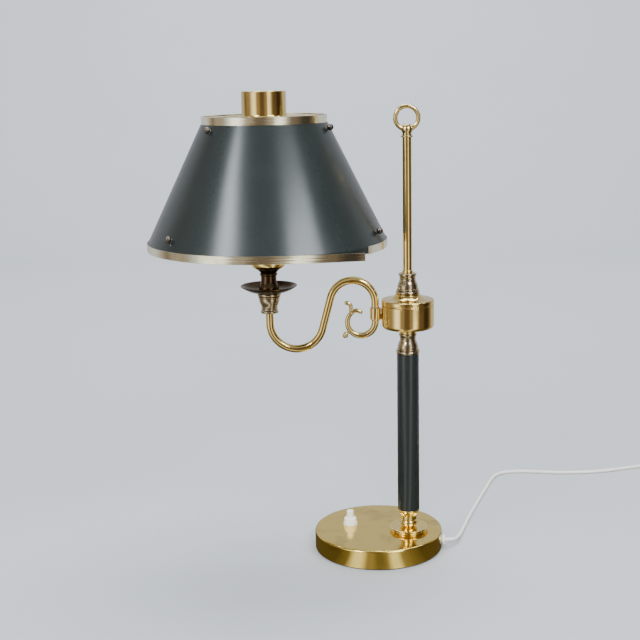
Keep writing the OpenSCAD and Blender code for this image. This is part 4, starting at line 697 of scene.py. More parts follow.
def route_mm():
    """The free cord from the base to the plug: along the table, then eight turns in two layers."""
    free = [
        (70.7, -7.4, 8.9), (77.2, -8.1, 9), (81.5, -8, 8.8), (86, -6, 8), (90, -1, 6.6), (93.5, 7, 5),
        (97, 17, 3.6), (100.5, 28, 2.6), (104, 40, 2.1), (108.5, 54, 2.1), (113, 69, 2.1), (118, 84, 2.1),
        (123, 99, 2.1), (128.5, 115, 2.1), (134, 131, 2.1), (140, 148, 2.1), (146, 165, 2.1), (152, 182, 2.1),
        (158, 199, 2.1), (164, 215, 2.1), (171, 230, 2.1), (181, 241, 2.1), (194, 246, 2.1), (209, 247, 2.1),
        (225, 245, 2.1), (242, 242, 2.1), (260, 239, 2.1), (278, 238, 2.1), (296, 238.5, 2.1),
        (314, 240.5, 2.1), (332, 244.5, 2.1), (350, 250, 2.1), (368, 256, 2.1), (386, 261.3, 2.1),
        (401, 264.7, 2.1),
    ]
    sizes = bpy.context.scene.lamp_sizes
    pitch, half = sizes.coil_pitch / MM, sizes.cord_d / 2 / MM
    coil = middle("cord_coil") / MM
    outer = (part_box("cord_coil")[1].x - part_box("cord_coil")[0].x) / 2 / MM - half
    # the turns in a layer, the share of a turn that it takes to climb on top, and the coil's start in degrees
    layer, climb, start_at = 4.0, 0.25, 95.0
    turns = 2 * layer + start_at / 360
    steps = round(turns * 18)
    wound = []
    for i in range(steps + 1):
        t = turns * i / steps
        if t < layer:
            r = outer - pitch * t
        elif t < layer + climb:
            r = outer - pitch * layer
        else:
            r = outer - pitch * layer + pitch * (t - layer - climb)
        rise = min(1.0, max(0.0, (t - layer) / climb))
        z = half + (2 * half + 0.05) * rise * rise * (3 - 2 * rise)
        a = math.radians(start_at - 360 * t)
        wound.append((coil.x + r * math.cos(a), coil.y + r * math.sin(a), z))
    plug_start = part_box("plug_body")[1].y / MM
    wound.append((wound[-1][0], (wound[-1][1] + plug_start) / 2, wound[-1][2] + 0.2))
    wound.append((wound[-2][0], plug_start - 2, middle("plug_body").z / MM))
    return free + wound


# The camera: its lens and its picture's width in millimetres, its place, and its turns in degrees
LENS, SENSOR = 66.54, 36.0
VIEW_FROM = (-0.0638, -1.3129, 0.5437)
VIEW_TILT, VIEW_ROLL = 78.33, -1.15


class LAMP_OT_camera(bpy.types.Operator):
    """Places the camera in front of the lamp, a little above it"""
    bl_idname = "lamp.camera"
    bl_label = "Camera"

    def execute(self, context):
        data = bpy.data.cameras.new("Camera")
        data.lens, data.sensor_width = LENS, SENSOR
        camera = placed(bpy.data.objects.new("Camera", data))
        tilt = Matrix.Rotation(math.radians(VIEW_TILT), 4, "X")
        roll = Matrix.Rotation(math.radians(VIEW_ROLL), 4, "Z")
        camera.matrix_world = Matrix.Translation(VIEW_FROM) @ (tilt @ roll)
        context.scene.camera = camera
        return {"FINISHED"}


class LAMP_OT_supply_cord(bpy.types.Operator):
    """Lays the supply cord from the base to its coil, with its bushing and plug"""
    bl_idname = "lamp.supply_cord"
    bl_label = "Supply cord"

    def execute(self, context):
        sizes = context.scene.lamp_sizes
        plug = self.plug()
        data = bpy.data.curves.new("supply_cord_piece", "CURVE")
        data.dimensions = "3D"
        data.resolution_u = 4
        data.bevel_depth = sizes.cord_d / 2
        data.bevel_resolution = 4
        data.use_fill_caps = True
        points = route_mm()
        spline = data.splines.new("BEZIER")
        spline.bezier_points.add(len(points) - 1)
        for handle, place in zip(spline.bezier_points, points):
            handle.co = Vector(place) * MM
            handle.handle_left_type = handle.handle_right_type = "AUTO"
        data.materials.append(finishes()["cord_sheath"])
        cord = placed(bpy.data.objects.new("supply_cord_piece", data))
        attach(cord, "stem")
        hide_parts("supply_cord", "cord_coil")
        self.bushing()
        dress("plated_pins", "plug_pins")
        return {"FINISHED"}

    def plug(self):
        """Lofts the plug from rounded sections, from its strain relief to its face."""
        low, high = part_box("plug_body")
        x, z = (low.x + high.x) / 2, (low.z + high.z) / 2
        wide, thick = (high.x - low.x) / 2 / MM, (high.z - low.z) / 2 / MM
        sections = [(0, 2.7, 2.7, 2.0), (0.6, 3.0, 3.0, 2.0)]
        for rib in range(6):
            y, r = 2.0 + rib * 3.9, 3.1 + rib * 0.26
            sections += [(y, r, r, 2.0), (y + 0.4, r + 0.35, r + 0.35, 2.0),
                         (y + 2.4, r + 0.35, r + 0.35, 2.0), (y + 2.8, r, r, 2.0)]
        sections += [(26, 5.2, 4.9, 2.1), (27.5, 7, 5.6, 2.4), (31, 9.4, thick - 0.4, 3.0),
                     (36, wide - 0.4, thick, 3.6), (44, wide, thick, 4.0), (57, wide, thick, 4.0),
                     (59.2, wide - 0.4, thick - 0.3, 4.0), (60, wide - 1.2, thick - 1.1, 4.0)]
        sides = 48
        form = bmesh.new()
        rows = []
        for y, a, b, power in sections:
            row = []
            for k in range(sides):
                c, s = math.cos(2 * math.pi * k / sides), math.sin(2 * math.pi * k / sides)
                row.append(form.verts.new((
                    x + a * MM * math.copysign(abs(c) ** (2 / power), c), high.y - y * MM,
                    z + b * MM * math.copysign(abs(s) ** (2 / power), s))))
            rows.append(row)
        bridge(form, rows)
        form.faces.new(rows[0])
        form.faces.new(rows[-1])
        mesh = mesh_of(form, "plug_piece")
        return piece("plug_piece", finish_mesh(mesh, 40), "plug_body", "stem", "ivory_plastic")

    def bushing(self):
        """The flanged bushing that the cord leaves through, turned about the outlet's own direction."""
        bore, neck, flange = 2.2, 3.8, 5.8
        outline = eased([
            (bore, -3), (neck, -3), (neck, 1.0), (flange - 0.3, 1.0), (flange, 1.4), (flange, 2.6),
            *arc((flange - 1, 2.6), 1.0, 0, 90, 6), (bore + 1.2, 3.6), (bore, 3.3)], 0.25)
        mesh = turned_mesh("bushing_piece", outline, (0, 0, 0), 64)
        mesh.transform(Matrix.Translation(OUTLET) @ OUTLET_TURN @ Matrix.Rotation(math.radians(90), 4, "Y"))
        piece("bushing_piece", mesh, "cord_bushing", "stem", "ivory_plastic")


class LAMP_OT_base(bpy.types.Operator):
    """Spins the brass cover of the base"""
    bl_idname = "lamp.base"
    bl_label = "Base"

    def execute(self, context):
        r, h = radius_mm("base_cover"), height_mm("base_cover")
        wall, corner = 1.0, 2.5
        outline = [
            (r - wall, 0), (r, 0), *arc((r - corner, h - corner), corner, 0, 90, 10),
            *[(r * share_in, h) for share_in in (0.9, 0.75, 0.6, 0.45, 0.3, 0.15)], (0, h), (0, h - wall),
            *arc((r - corner, h - corner), corner - wall, 90, 0, 8)]
        turned("base_piece", outline, BASE, "base_cover", "stem", "polished_brass", 0.25, "base_brass")
        return {"FINISHED"}


class LAMP_OT_switch(bpy.types.Operator):
    """Moulds the switch's screwed collar and its push button"""
    bl_idname = "lamp.switch"
    bl_label = "Switch"

    def execute(self, context):
        rim, h = radius_mm("switch_collar"), height_mm("switch_collar")
        bore, neck = 4.2, 5.6
        collar = [
            (neck, 0), (rim, 0), (rim, 1.1), (rim - 0.35, 1.5), (rim - 0.35, 1.9),
            *ogee((rim - 0.3, 2.0), (rim - 1.1, h - 2.4), 8),
            *arc((rim - 3.3, h - 2.4), 2.2, 5, 80, 8), (bore + 0.9, h), (bore, h - 0.4), (bore, h - 1.5),
            (neck, h - 1.5)]
        turned("collar_piece", collar, SWITCH, "switch_collar", "stem", "ivory_plastic", 0.2)
        low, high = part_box("switch_button")
        wide = (high.x - low.x) / 2 / MM
        stem, tall = wide - 0.7, height_mm("switch_button")
        button = [
            (0, 0), (wide, 0), (wide, 1.6), (stem, 1.6), (stem, tall - 1.0),
            *arc((stem - 1.0, tall - 1.0), 1.0, 0, 84, 7), (stem * 0.5, tall - 0.05), (0, tall)]
        turned("button_piece", button, SWITCH, "switch_button", "button", "ivory_plastic", 0.15)
        self.spring()
        return {"FINISHED"}

    def spring(self):
        """A wire wound to a spring under the button."""
        low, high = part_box("switch_spring")
        centre, wire, turns, steps = middle("switch_spring"), SPRING_WIRE / 2, 4, 24
        reach, tall = (high.x - low.x) / 2 - wire, high.z - low.z - 2 * wire
        winds = [(2 * math.pi * k / steps, k / steps / turns) for k in range(turns * steps + 1)]
        line = line_object("spring_line", [
            (centre.x + reach * math.cos(a), centre.y + reach * math.sin(a), low.z + wire + tall * up)
            for a, up in winds])
        mesh = shaped(line, "bar", "steel", Radius=wire, Sides=12)
        obj = piece("spring_piece", mesh, "switch_spring", "stem", "steel")
        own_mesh(obj)


def knop(hole=TUBE_WAY):
    """Outline of a vase-shaped knop from its wide end to its narrow end."""
    h, end, out, waist, rim = KNOP_H, 12.1, 13.5, 8.8, 10.1
    return [
        (hole, 0), (end, 0), (end + 0.2, 0.3), *bead(end + 0.2, out, 0.6, 3.8, 12), (end - 0.5, 4.1),
        *bead(end - 0.4, end + 0.5, 4.4, 6.0, 8), (end - 0.8, 6.3),
        *ogee((end - 0.5, 6.6), (waist + 0.1, h - 6.2), 18, 1.35),
        *bead(waist - 0.2, waist + 0.5, h - 6, h - 4.6, 8),
        *ogee((waist, h - 4.3), (rim, h - 1.6), 10), (rim, h - 0.6), (rim - 0.6, h), (hole, h)]


class LAMP_OT_column(bpy.types.Operator):
    """Turns the foot, the lacquered column and the two knops"""
    bl_idname = "lamp.column"
    bl_label = "Column"

    def execute(self, context):
        turned("foot_piece", self.foot(), COLUMN, "column_foot", "stem", "gilt_brass", 0.2)
        r, tall = radius_mm("column_tube"), height_mm("column_tube")
        tube = [(r - 1.2, 0), (r - 0.2, 0), (r, 0.3), *[(r, tall * k / 12) for k in range(1, 12)],
                (r, tall - 0.3), (r - 0.2, tall), (r - 1.2, tall)]
        turned("column_piece", tube, COLUMN, "column_tube", "stem", "green_lacquer", 0.1, "column_lacquer")
        turned("lower_knop_piece", knop(), COLUMN, "lower_knop", "stem", "antique_brass",
               0.15, z=top("column_tube"))
        turned("upper_knop_piece", knop(6.1), COLUMN, "upper_knop", "stem", "antique_brass", 0.15)
        return {"FINISHED"}

    def foot(self):
        """A thin flared flange, then the bulb, the waist and the flare under the column."""
        hole, step, dish, neck, bulb, waist = TUBE_WAY, 20.7, 22.2, 6.5, 10.3, 9.1
        h = (bottom("column_tube") - bottom("column_foot")) / MM
        rim, bulb_up = 4.8, 9.6
        low, high = rim + 0.8, 2 * bulb_up - rim - 0.8
        return [
            (hole, 0), (step - 0.4, 0), (step, 0.4), (step, 1.2), (step - 0.4, 1.6),
            *ogee((step - 0.3, 1.8), (dish, rim - 1.3), 10), *arc((dish - 0.6, rim - 0.6), 0.6, 0, 110, 6),
            (dish - 1.6, rim - 0.35), (dish - 2.6, rim - 0.5), (neck + 3, rim - 0.1),
            *ogee((neck + 1.4, rim), (neck, low - 0.2), 6), *bead(neck + 0.5, bulb, low, high, 20),
            *ogee((waist + 0.3, high + 0.2), (waist - 0.1, high + 3.6), 8),
            *ogee((waist - 0.1, high + 4), (12.0, h - 1.6), 12),
            (12.3, h - 1.1), (12.3, h - 0.2), (12.1, h), (11.2, h), (11.2, h + 4), (hole, h + 4)]


class LAMP_OT_drum(bpy.types.Operator):
    """Spins the drum and its lid, and dresses the hinge's bracket"""
    bl_idname = "lamp.drum"
    bl_label = "Drum"

    def execute(self, context):
        r = radius_mm("drum_can")
        h, under, corner, wall, neck = height_mm("drum_can"), 3.1, 4.5, 1.0, 9.5
        bend = (r - corner, under + 7.5)
        can = [
            (TUBE_WAY, 0), (neck, 0), (neck, under - 0.6), (neck + 0.8, under),
            *arc(bend, corner, -80, 0, 14),
            *[(r, 12 + (h - 13) * k / 5) for k in range(1, 5)], (r, h - 0.3), (r - 0.3, h), (r - wall, h),
            *arc(bend, corner - wall, 0, -80, 10), (neck + 0.4, under + 1.1),
            (TUBE_WAY, under + 1.1)]
        turned("drum_piece", can, COLUMN, "drum_can", "stem", "polished_brass", 0.4)
        turned("lid_piece", self.lid(r), COLUMN, "drum_lid", "stem", "polished_brass", 0.3)
        self.bracket()
        return {"FINISHED"}

    def lid(self, r):
        """Outline of the lid: a sleeve inside the drum, an upright rim, and a slope up to the boss."""
        sleeve, rim, rise, boss, wall = 2.0, 6.5, 6.0, 14.0, 1.0
        inner = r - wall - 0.1
        slope = [(k / 16, (k / 16) ** 3.2) for k in range(17)]
        top_of_rim, span = sleeve + rim, r - 2.2 - boss
        return [
            (inner - wall, 0), (inner, 0), (inner, sleeve), (r - 0.5, sleeve), (r - 0.1, sleeve + 0.4),
            *bead(r - 0.1, r + 0.25, sleeve + 0.5, sleeve + 1.6, 8), (r - 0.25, sleeve + 1.8),
            (r, sleeve + 2.0),
            *arc((r - 1.4, top_of_rim - 1.4), 1.4, 0, 75, 8),
            *[(r - 2.2 - span * t, top_of_rim + (rise - 0.8) * s) for t, s in slope],
            (boss, top_of_rim + rise), (TUBE_WAY, top_of_rim + rise),
            (TUBE_WAY, top_of_rim + rise - wall), (boss - 1.4, top_of_rim + rise - wall),
            *[(r - 3.2 - (span - 0.2) * t, top_of_rim - 1.2 + (rise - 1) * s) for t, s in reversed(slope)],
            (inner - wall, top_of_rim - 2.6)]

    def bracket(self):
        """A merged copy of the bracket's solid with its edges broken."""
        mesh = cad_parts["hinge_bracket"].data.copy()
        form = bmesh.new()
        form.from_mesh(mesh)
        bmesh.ops.remove_doubles(form, verts=form.verts, dist=2e-6)
        bmesh.ops.dissolve_limit(form, angle_limit=math.radians(1), verts=form.verts, edges=form.edges)
        form.to_mesh(mesh)
        form.free()
        mesh.materials.clear()
        obj = piece("bracket_piece", finish_mesh(mesh, 30), "hinge_bracket", "stem", "polished_brass",
                    "arm_brass")
        bevel = obj.modifiers.new("Broken edges", "BEVEL")
        bevel.width, bevel.segments, bevel.limit_method = 0.35 * MM, 2, "ANGLE"
        bevel.angle_limit = math.radians(40)
        bevel.harden_normals = True


class LAMP_OT_rod(bpy.types.Operator):
    """Turns the coupler, the upper rod and the finial with its lifting ring"""
    bl_idname = "lamp.rod"
    bl_label = "Upper rod"

    def execute(self, context):
        r, tall = radius_mm("rod_coupler"), height_mm("rod_coupler")
        coupler = [(5.0, 0), (r, 0), (r, tall - 1.6), *arc((r - 0.9, tall - 0.9), 0.9, 10, 80, 6),
                   (TUBE_WAY, tall), (TUBE_WAY, tall - 7), (5.0, tall - 7)]
        turned("coupler_piece", coupler, COLUMN, "rod_coupler", "stem", "gilt_brass", 0.1)
        r, tall = radius_mm("upper_rod"), height_mm("upper_rod")
        rod = [(r - 1, 0), *[(r, tall * k / 10) for k in range(11)], (r - 1, tall)]
        turned("rod_piece", rod, COLUMN, "upper_rod", "stem", "polished_brass", 0.1, "arm_brass")
        lip, neck, ball, flat = 7.0, 5.2, 6.4, 4.3
        up, plug = 8.2, 10.0
        half = math.degrees(math.asin(flat / ball))
        crown = up + ball * math.cos(math.radians(half))
        finial = [
            (0, -plug), (3.9, -plug), (3.9, 0), (lip - 0.3, 0), (lip, 0.3), (lip, 1.1), (lip - 0.3, 1.4),
            (neck, 1.4), (neck, 3.0), *arc((0, up), ball, -38, 90 - half, 20), (flat, crown + 0.5),
            (flat - 0.8, crown + 0.9), (0, crown + 0.9)]
        turned("finial_piece", finial, COLUMN, "finial_neck", "stem", "gilt_brass",
               0.15, "old_gilt", z=bottom("finial_neck") + plug * MM)
        self.ring()
        return {"FINISHED"}

    def ring(self):
        """A round bar bent to a ring; its ends meet inside the neck."""
        (low, high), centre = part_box("finial_ring"), middle("finial_ring")
        wire = (high.y - low.y) / 2
        reach = (high.x - low.x) / 2 - wire
        turns = [-math.pi / 2 + 2 * math.pi * k / 96 for k in range(97)]
        line = line_object("ring_line", [
            (centre.x + reach * math.cos(a), centre.y, centre.z + reach * math.sin(a)) for a in turns])
        mesh = shaped(line, "bar", "old_gilt", Radius=wire, Sides=32)
        piece("ring_piece", mesh, "finial_ring", "stem", "gilt_brass", "old_gilt")


def arm_line():
    """The arm's centreline from the hinge to the arm cup, in metres."""
    arch_r, bend_r, reach = 25.3, 30.0, HINGE.x / MM - LIGHT.x / MM
    sleeve0, sleeve1 = bottom("hinge_bracket") / MM, top("hinge_bracket") / MM
    arch = Vector((-arch_r, sleeve1 + 6.2))
    bend = Vector((-reach + bend_r, sleeve0 - 1.8))
    between = bend - arch
    way = 360 + math.degrees(math.atan2(between.y, between.x) + math.asin((arch_r + bend_r) / between.length))
    flat = [(0, top("hinge_washer") / MM + 0.3), (0, sleeve1 + 3), *arc(arch, arch_r, 0, way - 90, 40),
            *arc(bend, bend_r, way - 270, -180, 40), (-reach, top("arm_tube") / MM)]
    return [(HINGE.x + px * MM, HINGE.y, pz * MM) for px, pz in flat]


class LAMP_OT_arm(bpy.types.Operator):
    """Bends the arm's tube and casts its scroll"""
    bl_idname = "lamp.arm"
    bl_label = "Arm"

    def execute(self, context):
        line = line_object("arm_line", arm_line())
        mesh = shaped(line, "bar", "arm_brass", Radius=ARM_R, Sides=40)
        piece("arm_piece", mesh, "arm_tube", "arm", "polished_brass", "arm_brass")
        self.scroll()
        return {"FINISHED"}

    def scroll(self):
        """Sweeps the scroll's round and its three leaves, and melts them into one casting."""
        start, inner, root, fork = bottom("hinge_bracket") / MM - 0.3, 12.8, 6.7, 4.3
        centre, turn = Vector((-(inner + root / 2), start - 2)), -226.0

        def on_round(t):
            a, r = math.radians(turn * t), inner + (root + (fork - root) * t) / 2
            return centre + Vector((r * math.cos(a), r * math.sin(a)))

        steps = 44
        body = [Vector((0, start)), Vector((0, start - 1)), *[on_round(i / steps) for i in range(steps + 1)]]
        bodies = [root / 2 + (fork - root) / 2 * max(0, i - 2) / steps for i in range(len(body))]
        curl = centre + Vector((-inner - 3, inner + 4.4))
        tip = on_round(0.97)
        upper = [tip + Vector((-0.6, -1.6)), tip + Vector((0.5, 1.4)), *[
            Vector(p) for p in arc(curl, 4.8, -8, 120, 14)]]
        short = []
        for i in range(15):
            t = i / 14
            a, r = math.radians(turn - 2 - 50 * t), inner + fork / 2 - 5.2 * t * t
            short.append(centre + Vector((r * math.cos(a), r * math.sin(a))))
        off = on_round(0.6)
        drop = centre + Vector((-inner - 4.9, -inner - 2.7))
        spur = [off, off + Vector((-2.6, 0.6)), drop + Vector((2.4, 3)), drop + Vector((0.5, 2.4)), drop,
                drop + Vector((0.3, -1.6)), drop + Vector((0.6, -2.6))]

        def tapered(points, r0, r1):
            n = len(points) - 1
            tips = {n: 0.35, n - 1: 0.75, n - 2: 0.94}
            return [(r0 + (r1 - r0) * i / n) * tips.get(i, 1.0) for i in range(n + 1)]

        bars = [(body, bodies), (upper, tapered(upper, fork * 0.42, 2.0)),
                (short, tapered(short, fork * 0.49, 2.0)), (spur, [1.6, 1.4, 1.5, 2.1, 2.8, 2.24, 0.9])]
        whole = bmesh.new()
        for points, widths in bars:
            line = line_object("leaf", [(HINGE.x + p.x * MM, HINGE.y, p.y * MM) for p in points], widths)
            mesh = shaped(line, "bar", "old_gilt", Radius=1.22 * MM, Sides=24)
            whole.from_mesh(mesh)
            bpy.data.meshes.remove(mesh)
        joined = bpy.data.meshes.new("scroll_piece")
        whole.to_mesh(joined)
        whole.free()
        obj = placed(bpy.data.objects.new("scroll_shape", joined))
        melt = obj.modifiers.new("Melt", "REMESH")
        melt.mode, melt.voxel_size, melt.use_smooth_shade = "VOXEL", 0.3 * MM, True
        soften = obj.modifiers.new("Soften", "SMOOTH")
        soften.factor, soften.iterations = 0.5, 6
        mesh = plain(obj)
        mesh.shade_smooth()
        piece("scroll_piece", mesh, "arm_scroll", "arm", "gilt_brass", "old_gilt")


class LAMP_OT_candle(bpy.types.Operator):
    """Turns the arm cup, the drip pan and the candle cup"""
    bl_idname = "lamp.candle"
    bl_label = "Candle cup"

    def execute(self, context):
        cup = [(r, KNOP_H - z) for r, z in reversed(knop(4.0))]
        turned("arm_cup_piece", cup, LIGHT, "arm_cup", "arm", "antique_brass", 0.15)
        turned("pan_piece", self.pan(), LIGHT, "drip_pan", "arm", "dark_bronze", 0.15)
        foot, waist, out, upper = 11.8, 8.75, 10.1, 13.8
        h, hole = height_mm("candle_cup"), TUBE_WAY
        at = h * 0.755
        flare = [(waist + 0.4 + (upper - waist - 0.4) * (k / 10) ** 1.3, at + 1.6 + (h - at - 2.0) * k / 10)
                 for k in range(11)]
        candle = [
            (hole, 0), (foot - 0.3, 0), (foot, 0.4), (foot, 1.4),
            *ogee((foot - 0.5, 1.8), (waist, h / 2), 14),
            (waist, at - 2), *bead(waist, out, at - 1.5, at + 1.3, 10), *flare, (upper, h), (hole, h)]
        turned("candle_piece", candle, LIGHT, "candle_cup", "arm", "dark_bronze", 0.15)
        return {"FINISHED"}

    def pan(self):
        """Outline of the dished drip pan with its rolled rim."""
        r, flat, h, sheet, hole = radius_mm("drip_pan"), 13.0, height_mm("drip_pan"), 1.0, TUBE_WAY
        dish = [(flat + (r - 1.2 - flat) * k / 14, (h - 1.6) * (k / 14) ** 2) for k in range(15)]
        return [(hole, 0), *dish, (r - 0.4, h - 1.0), (r, h - 0.5), (r - 0.2, h), (r - 0.8, h),
                (r - 1.2, h - 0.5), *[(a - 0.5, b + sheet) for a, b in reversed(dish)], (hole, sheet)]


class LAMP_OT_holder(bpy.types.Operator):
    """Presses the lamp holder's cap and shell, and dresses what is inside it"""
    bl_idname = "lamp.holder"
    bl_label = "Lamp holder"

    def execute(self, context):
        start, r, h, wall, rise = 13.5, 19.5, height_mm("holder_cap"), 0.9, 7.0
        turns = [math.radians(9 * k) for k in range(11)]
        bowl = [(start + (r - start) * math.sin(a), rise * (1 - math.cos(a))) for a in turns]
        cap = [(TUBE_WAY, 0), *bowl, (r, h - 3), *bead(r, r + 0.5, h - 2.8, h - 1, 8), (r, h), (r - wall, h),
               *[(a - wall, b + wall) for a, b in reversed(bowl)], (TUBE_WAY, wall)]
        turned("holder_cap_piece", cap, LIGHT, "holder_cap", "arm", "gilt_brass", 0.2)
        h, mouth, seat = height_mm("holder_shell"), 15.0, 17.6
        threads = [(r - (0.35 if k % 2 else 0.0), 6 + k * 0.9) for k in range(24)]
        shell = [(seat, 0), (r, 0), *threads, (r, h - 1.2), (r - 0.8, h), (mouth, h), (mouth, h - wall),
                 (r - wall - 0.6, h - wall), (r - wall, h - wall - 0.6), (r - wall, wall), (seat, wall)]
        turned("holder_shell_piece", shell, LIGHT, "holder_shell", "arm", "gilt_brass", 0.12)
        self.shade_rings()
        dress("porcelain", "holder_insert")
        dress("gilt_brass", "screw_shell", "centre_contact")
        dress("steel", "holder_nipple")
        return {"FINISHED"}

    def shade_rings(self):
        """Two threaded rings with a fine knurl on their rims."""
        low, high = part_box("shade_rings")
        outer, inner, thick, teeth = (high.x - low.x) / 2, 19.6 * MM, 3 * MM, 90
        ease = 0.6 * MM
        form = bmesh.new()
        for z0 in (low.z, high.z - thick):
            rows = []
            for z, cut in ((z0, ease), (z0 + ease, 0), (z0 + thick - ease, 0), (z0 + thick, ease)):
                rows.append([(outer - cut - (0.35 * MM if k % 2 else 0), k, z) for k in range(2 * teeth)])
            rows += [[(inner, k, z) for k in range(2 * teeth)] for z in (z0 + thick, z0)]
            made = [[form.verts.new((LIGHT.x + r * math.cos(math.pi * k / teeth),
                                     LIGHT.y + r * math.sin(math.pi * k / teeth), z)) for r, k, z in row]
                    for row in rows]
            bridge(form, made + made[:1])
        mesh = mesh_of(form, "shade_rings_piece")
        piece("shade_rings_piece", finish_mesh(mesh, 20), "shade_rings", "arm", "gilt_brass")


class LAMP_OT_bulb(bpy.types.Operator):
    """Blows the frosted bulb and rolls its screw cap"""
    bl_idname = "lamp.bulb"
    bl_label = "Bulb"

    def execute(self, context):
        cap_r, pitch = radius_mm("bulb_cap"), 3.0
        waves = [(cap_r - 0.6 - 0.6 * math.cos(2 * math.pi * k / 10), 5 + pitch * k / 10) for k in range(51)]
        cap = [(0, 0), (4, 0), (4.6, 1), (9, 3.2), (cap_r - 1.2, 4.4), *waves, (cap_r - 1, 20.6),
               (cap_r - 1, height_mm("bulb_cap")), (0, height_mm("bulb_cap"))]
        turned("bulb_cap_piece", cap, LIGHT, "bulb_cap", "arm", "bulb_metal", 0.1)
        r, h, neck, wall = radius_mm("bulb_glass"), height_mm("bulb_glass"), cap_r - 1.4, 1.0
        mid = h - r
        outer = self.globe(r, mid, neck)
        inner = self.globe(r - wall, mid, neck - wall)
        glass = [(0, 0), *outer, *[(a, max(b, wall)) for a, b in reversed(inner)], (0, wall)]
        turned("bulb_glass_piece", glass, LIGHT, "bulb_glass", "arm", "frosted_glass", 0.05)
        return {"FINISHED"}

    def globe(self, r, mid, neck):
        """Outline of a globe round the height mid, with a throat down to its neck."""
        join = math.radians(128)
        edge, low = r * math.sin(join), mid + r * math.cos(join)
        ease = [((1 - math.cos(math.radians(118) * k / 9)) / (1 - math.cos(math.radians(118))), k / 9)
                for k in range(1, 9)]
        throat = [(neck + (edge - neck) * e, 3 + (low - 3) * t) for e, t in ease]
        ball = [(max(0.0, r * math.sin(join * (1 - k / 28))), mid + r * math.cos(join * (1 - k / 28)))
                for k in range(29)]
        return [(neck, 0), (neck, 3), *throat, *ball]


# The shade's sheet: upright inside the lower band, then a cone, and a small shoulder under the upper band
SHADE_LOW, SHADE_HIGH = bottom("shade_sheet"), top("shade_sheet")
SHADE_R0 = radius_mm("shade_sheet") * MM
SHADE_R1, SHADE_EDGE = 64 * MM, 6.4 * MM
SHADE_SLOPE = (SHADE_R0 - SHADE_R1) / (SHADE_HIGH - SHADE_LOW - SHADE_EDGE)
SHADE_LINE = [
    (SHADE_LOW, SHADE_R0), (SHADE_LOW + SHADE_EDGE, SHADE_R0),
    (SHADE_HIGH - 7.6 * MM, SHADE_R1 + 5.2 * MM), (SHADE_HIGH - 7 * MM, SHADE_R1 + 3.5 * MM),
    (SHADE_HIGH, SHADE_R1)]
SHADE_LEAN = math.atan((SHADE_LINE[1][1] - SHADE_LINE[2][1]) / (SHADE_LINE[2][0] - SHADE_LINE[1][0]))
SHEET_T = 0.6 * MM                              # thickness of the shade's sheet
BAND_T, BAND_H = 0.7 * MM, 8.4 * MM             # thickness and height of the trim bands
KNOB_TURNS = (70, 190, 310)                     # the knobs' places, in degrees from the front to the right


def round_shade(turn, r, z):
    """A place round the light's axis: turn is the angle from the front, to the right."""
    a = math.radians(turn)
    return Vector((LIGHT.x + r * math.sin(a), LIGHT.y - r * math.cos(a), z))


def cone_r(z):
    """The radius of the sheet's outside at a height."""
    for (z0, r0), (z1, r1) in zip(SHADE_LINE, SHADE_LINE[1:]):
        if z <= z1:
            return r0 + (r1 - r0) * (z - z0) / (z1 - z0)
    return SHADE_R1 - (z - SHADE_HIGH) * SHADE_SLOPE


def out_of_shade(turn):
    """The way straight out of the cone at an angle from the front."""
    a = math.radians(turn)
    flat = Vector((math.sin(a), -math.cos(a), 0)) * math.cos(SHADE_LEAN)
    return flat + Vector((0, 0, math.sin(SHADE_LEAN)))


class LAMP_OT_shade(bpy.types.Operator):
    """Rolls the shade's sheet and presses its top plate and chimney"""
    bl_idname = "lamp.shade"
    bl_label = "Shade"

    def execute(self, context):
        self.sheet()
        z0, rim, flare, sheet = SHADE_LOW / MM, height_mm("top_plate"), 2.4, 0.9
        upper = top("top_plate") / MM - z0
        gap, wall = 0.7 / math.cos(SHADE_LEAN), 1.0 / math.cos(SHADE_LEAN)
        r, h = radius_mm("chimney") - flare, height_mm("chimney")
        hole = r - sheet

        def inside(z):
            return cone_r((z0 + z) * MM) / MM - gap

        plate = [
            (hole, upper - 1), (inside(upper - 1) - wall - 1, upper - 1),
            (inside(upper - 2) - wall, upper - 2),
            (inside(upper - rim) - wall, upper - rim), (inside(upper - rim), upper - rim),
            (inside(upper), upper - 0.2), (inside(upper) - 0.4, upper), (hole, upper)]
        turned("top_plate_piece", plate, LIGHT, "top_plate", "arm", "pale_brass",
               0.4, "polished_brass", z=SHADE_LOW)
        chimney = [
            (hole, 0), (r + flare, 0), (r + flare, 0.4), *arc((r + flare, flare + 0.4), flare, 270, 180, 8),
            *[(r, h * k / 8) for k in range(2, 8)], (r, h - 0.2), (r - 0.2, h), (hole + 0.2, h),
            (hole, h - 0.2)]
        turned("chimney_piece", chimney, LIGHT, "chimney", "arm", "polished_brass", 0.1)
        dress("steel", "shade_frame")
        return {"FINISHED"}

    def sheet(self):
        """The sheet: an upright edge and a cone, with lacquer outside and paint inside."""
        sides, thick = 192, SHEET_T / math.cos(SHADE_LEAN)
        (edge, _), (shoulder, _) = SHADE_LINE[1:3]
        heights = [SHADE_LOW, edge - 0.4 * MM, edge, edge + 0.4 * MM]
        heights += [edge + (shoulder - edge) * i / 20 for i in range(1, 21)]
        heights += [SHADE_LINE[3][0], SHADE_HIGH]
        form = bmesh.new()
        outer, inner = ([
            [form.verts.new(round_shade(360 * k / sides, cone_r(z) - inset, z)) for k in range(sides)]
            for z in heights] for inset in (0, thick))
        bridge(form, outer)
        for face in bridge(form, inner):
            face.material_index = 1
        for end in (0, -1):
            bridge(form, (outer[end], inner[end]))
        mesh = mesh_of(form, "sheet_piece")
        for look in ("green_lacquer", "lining"):
            mesh.materials.append(finishes()[look])
        piece("sheet_piece", finish_mesh(mesh, 40), "shade_sheet", "arm", "green_lacquer")


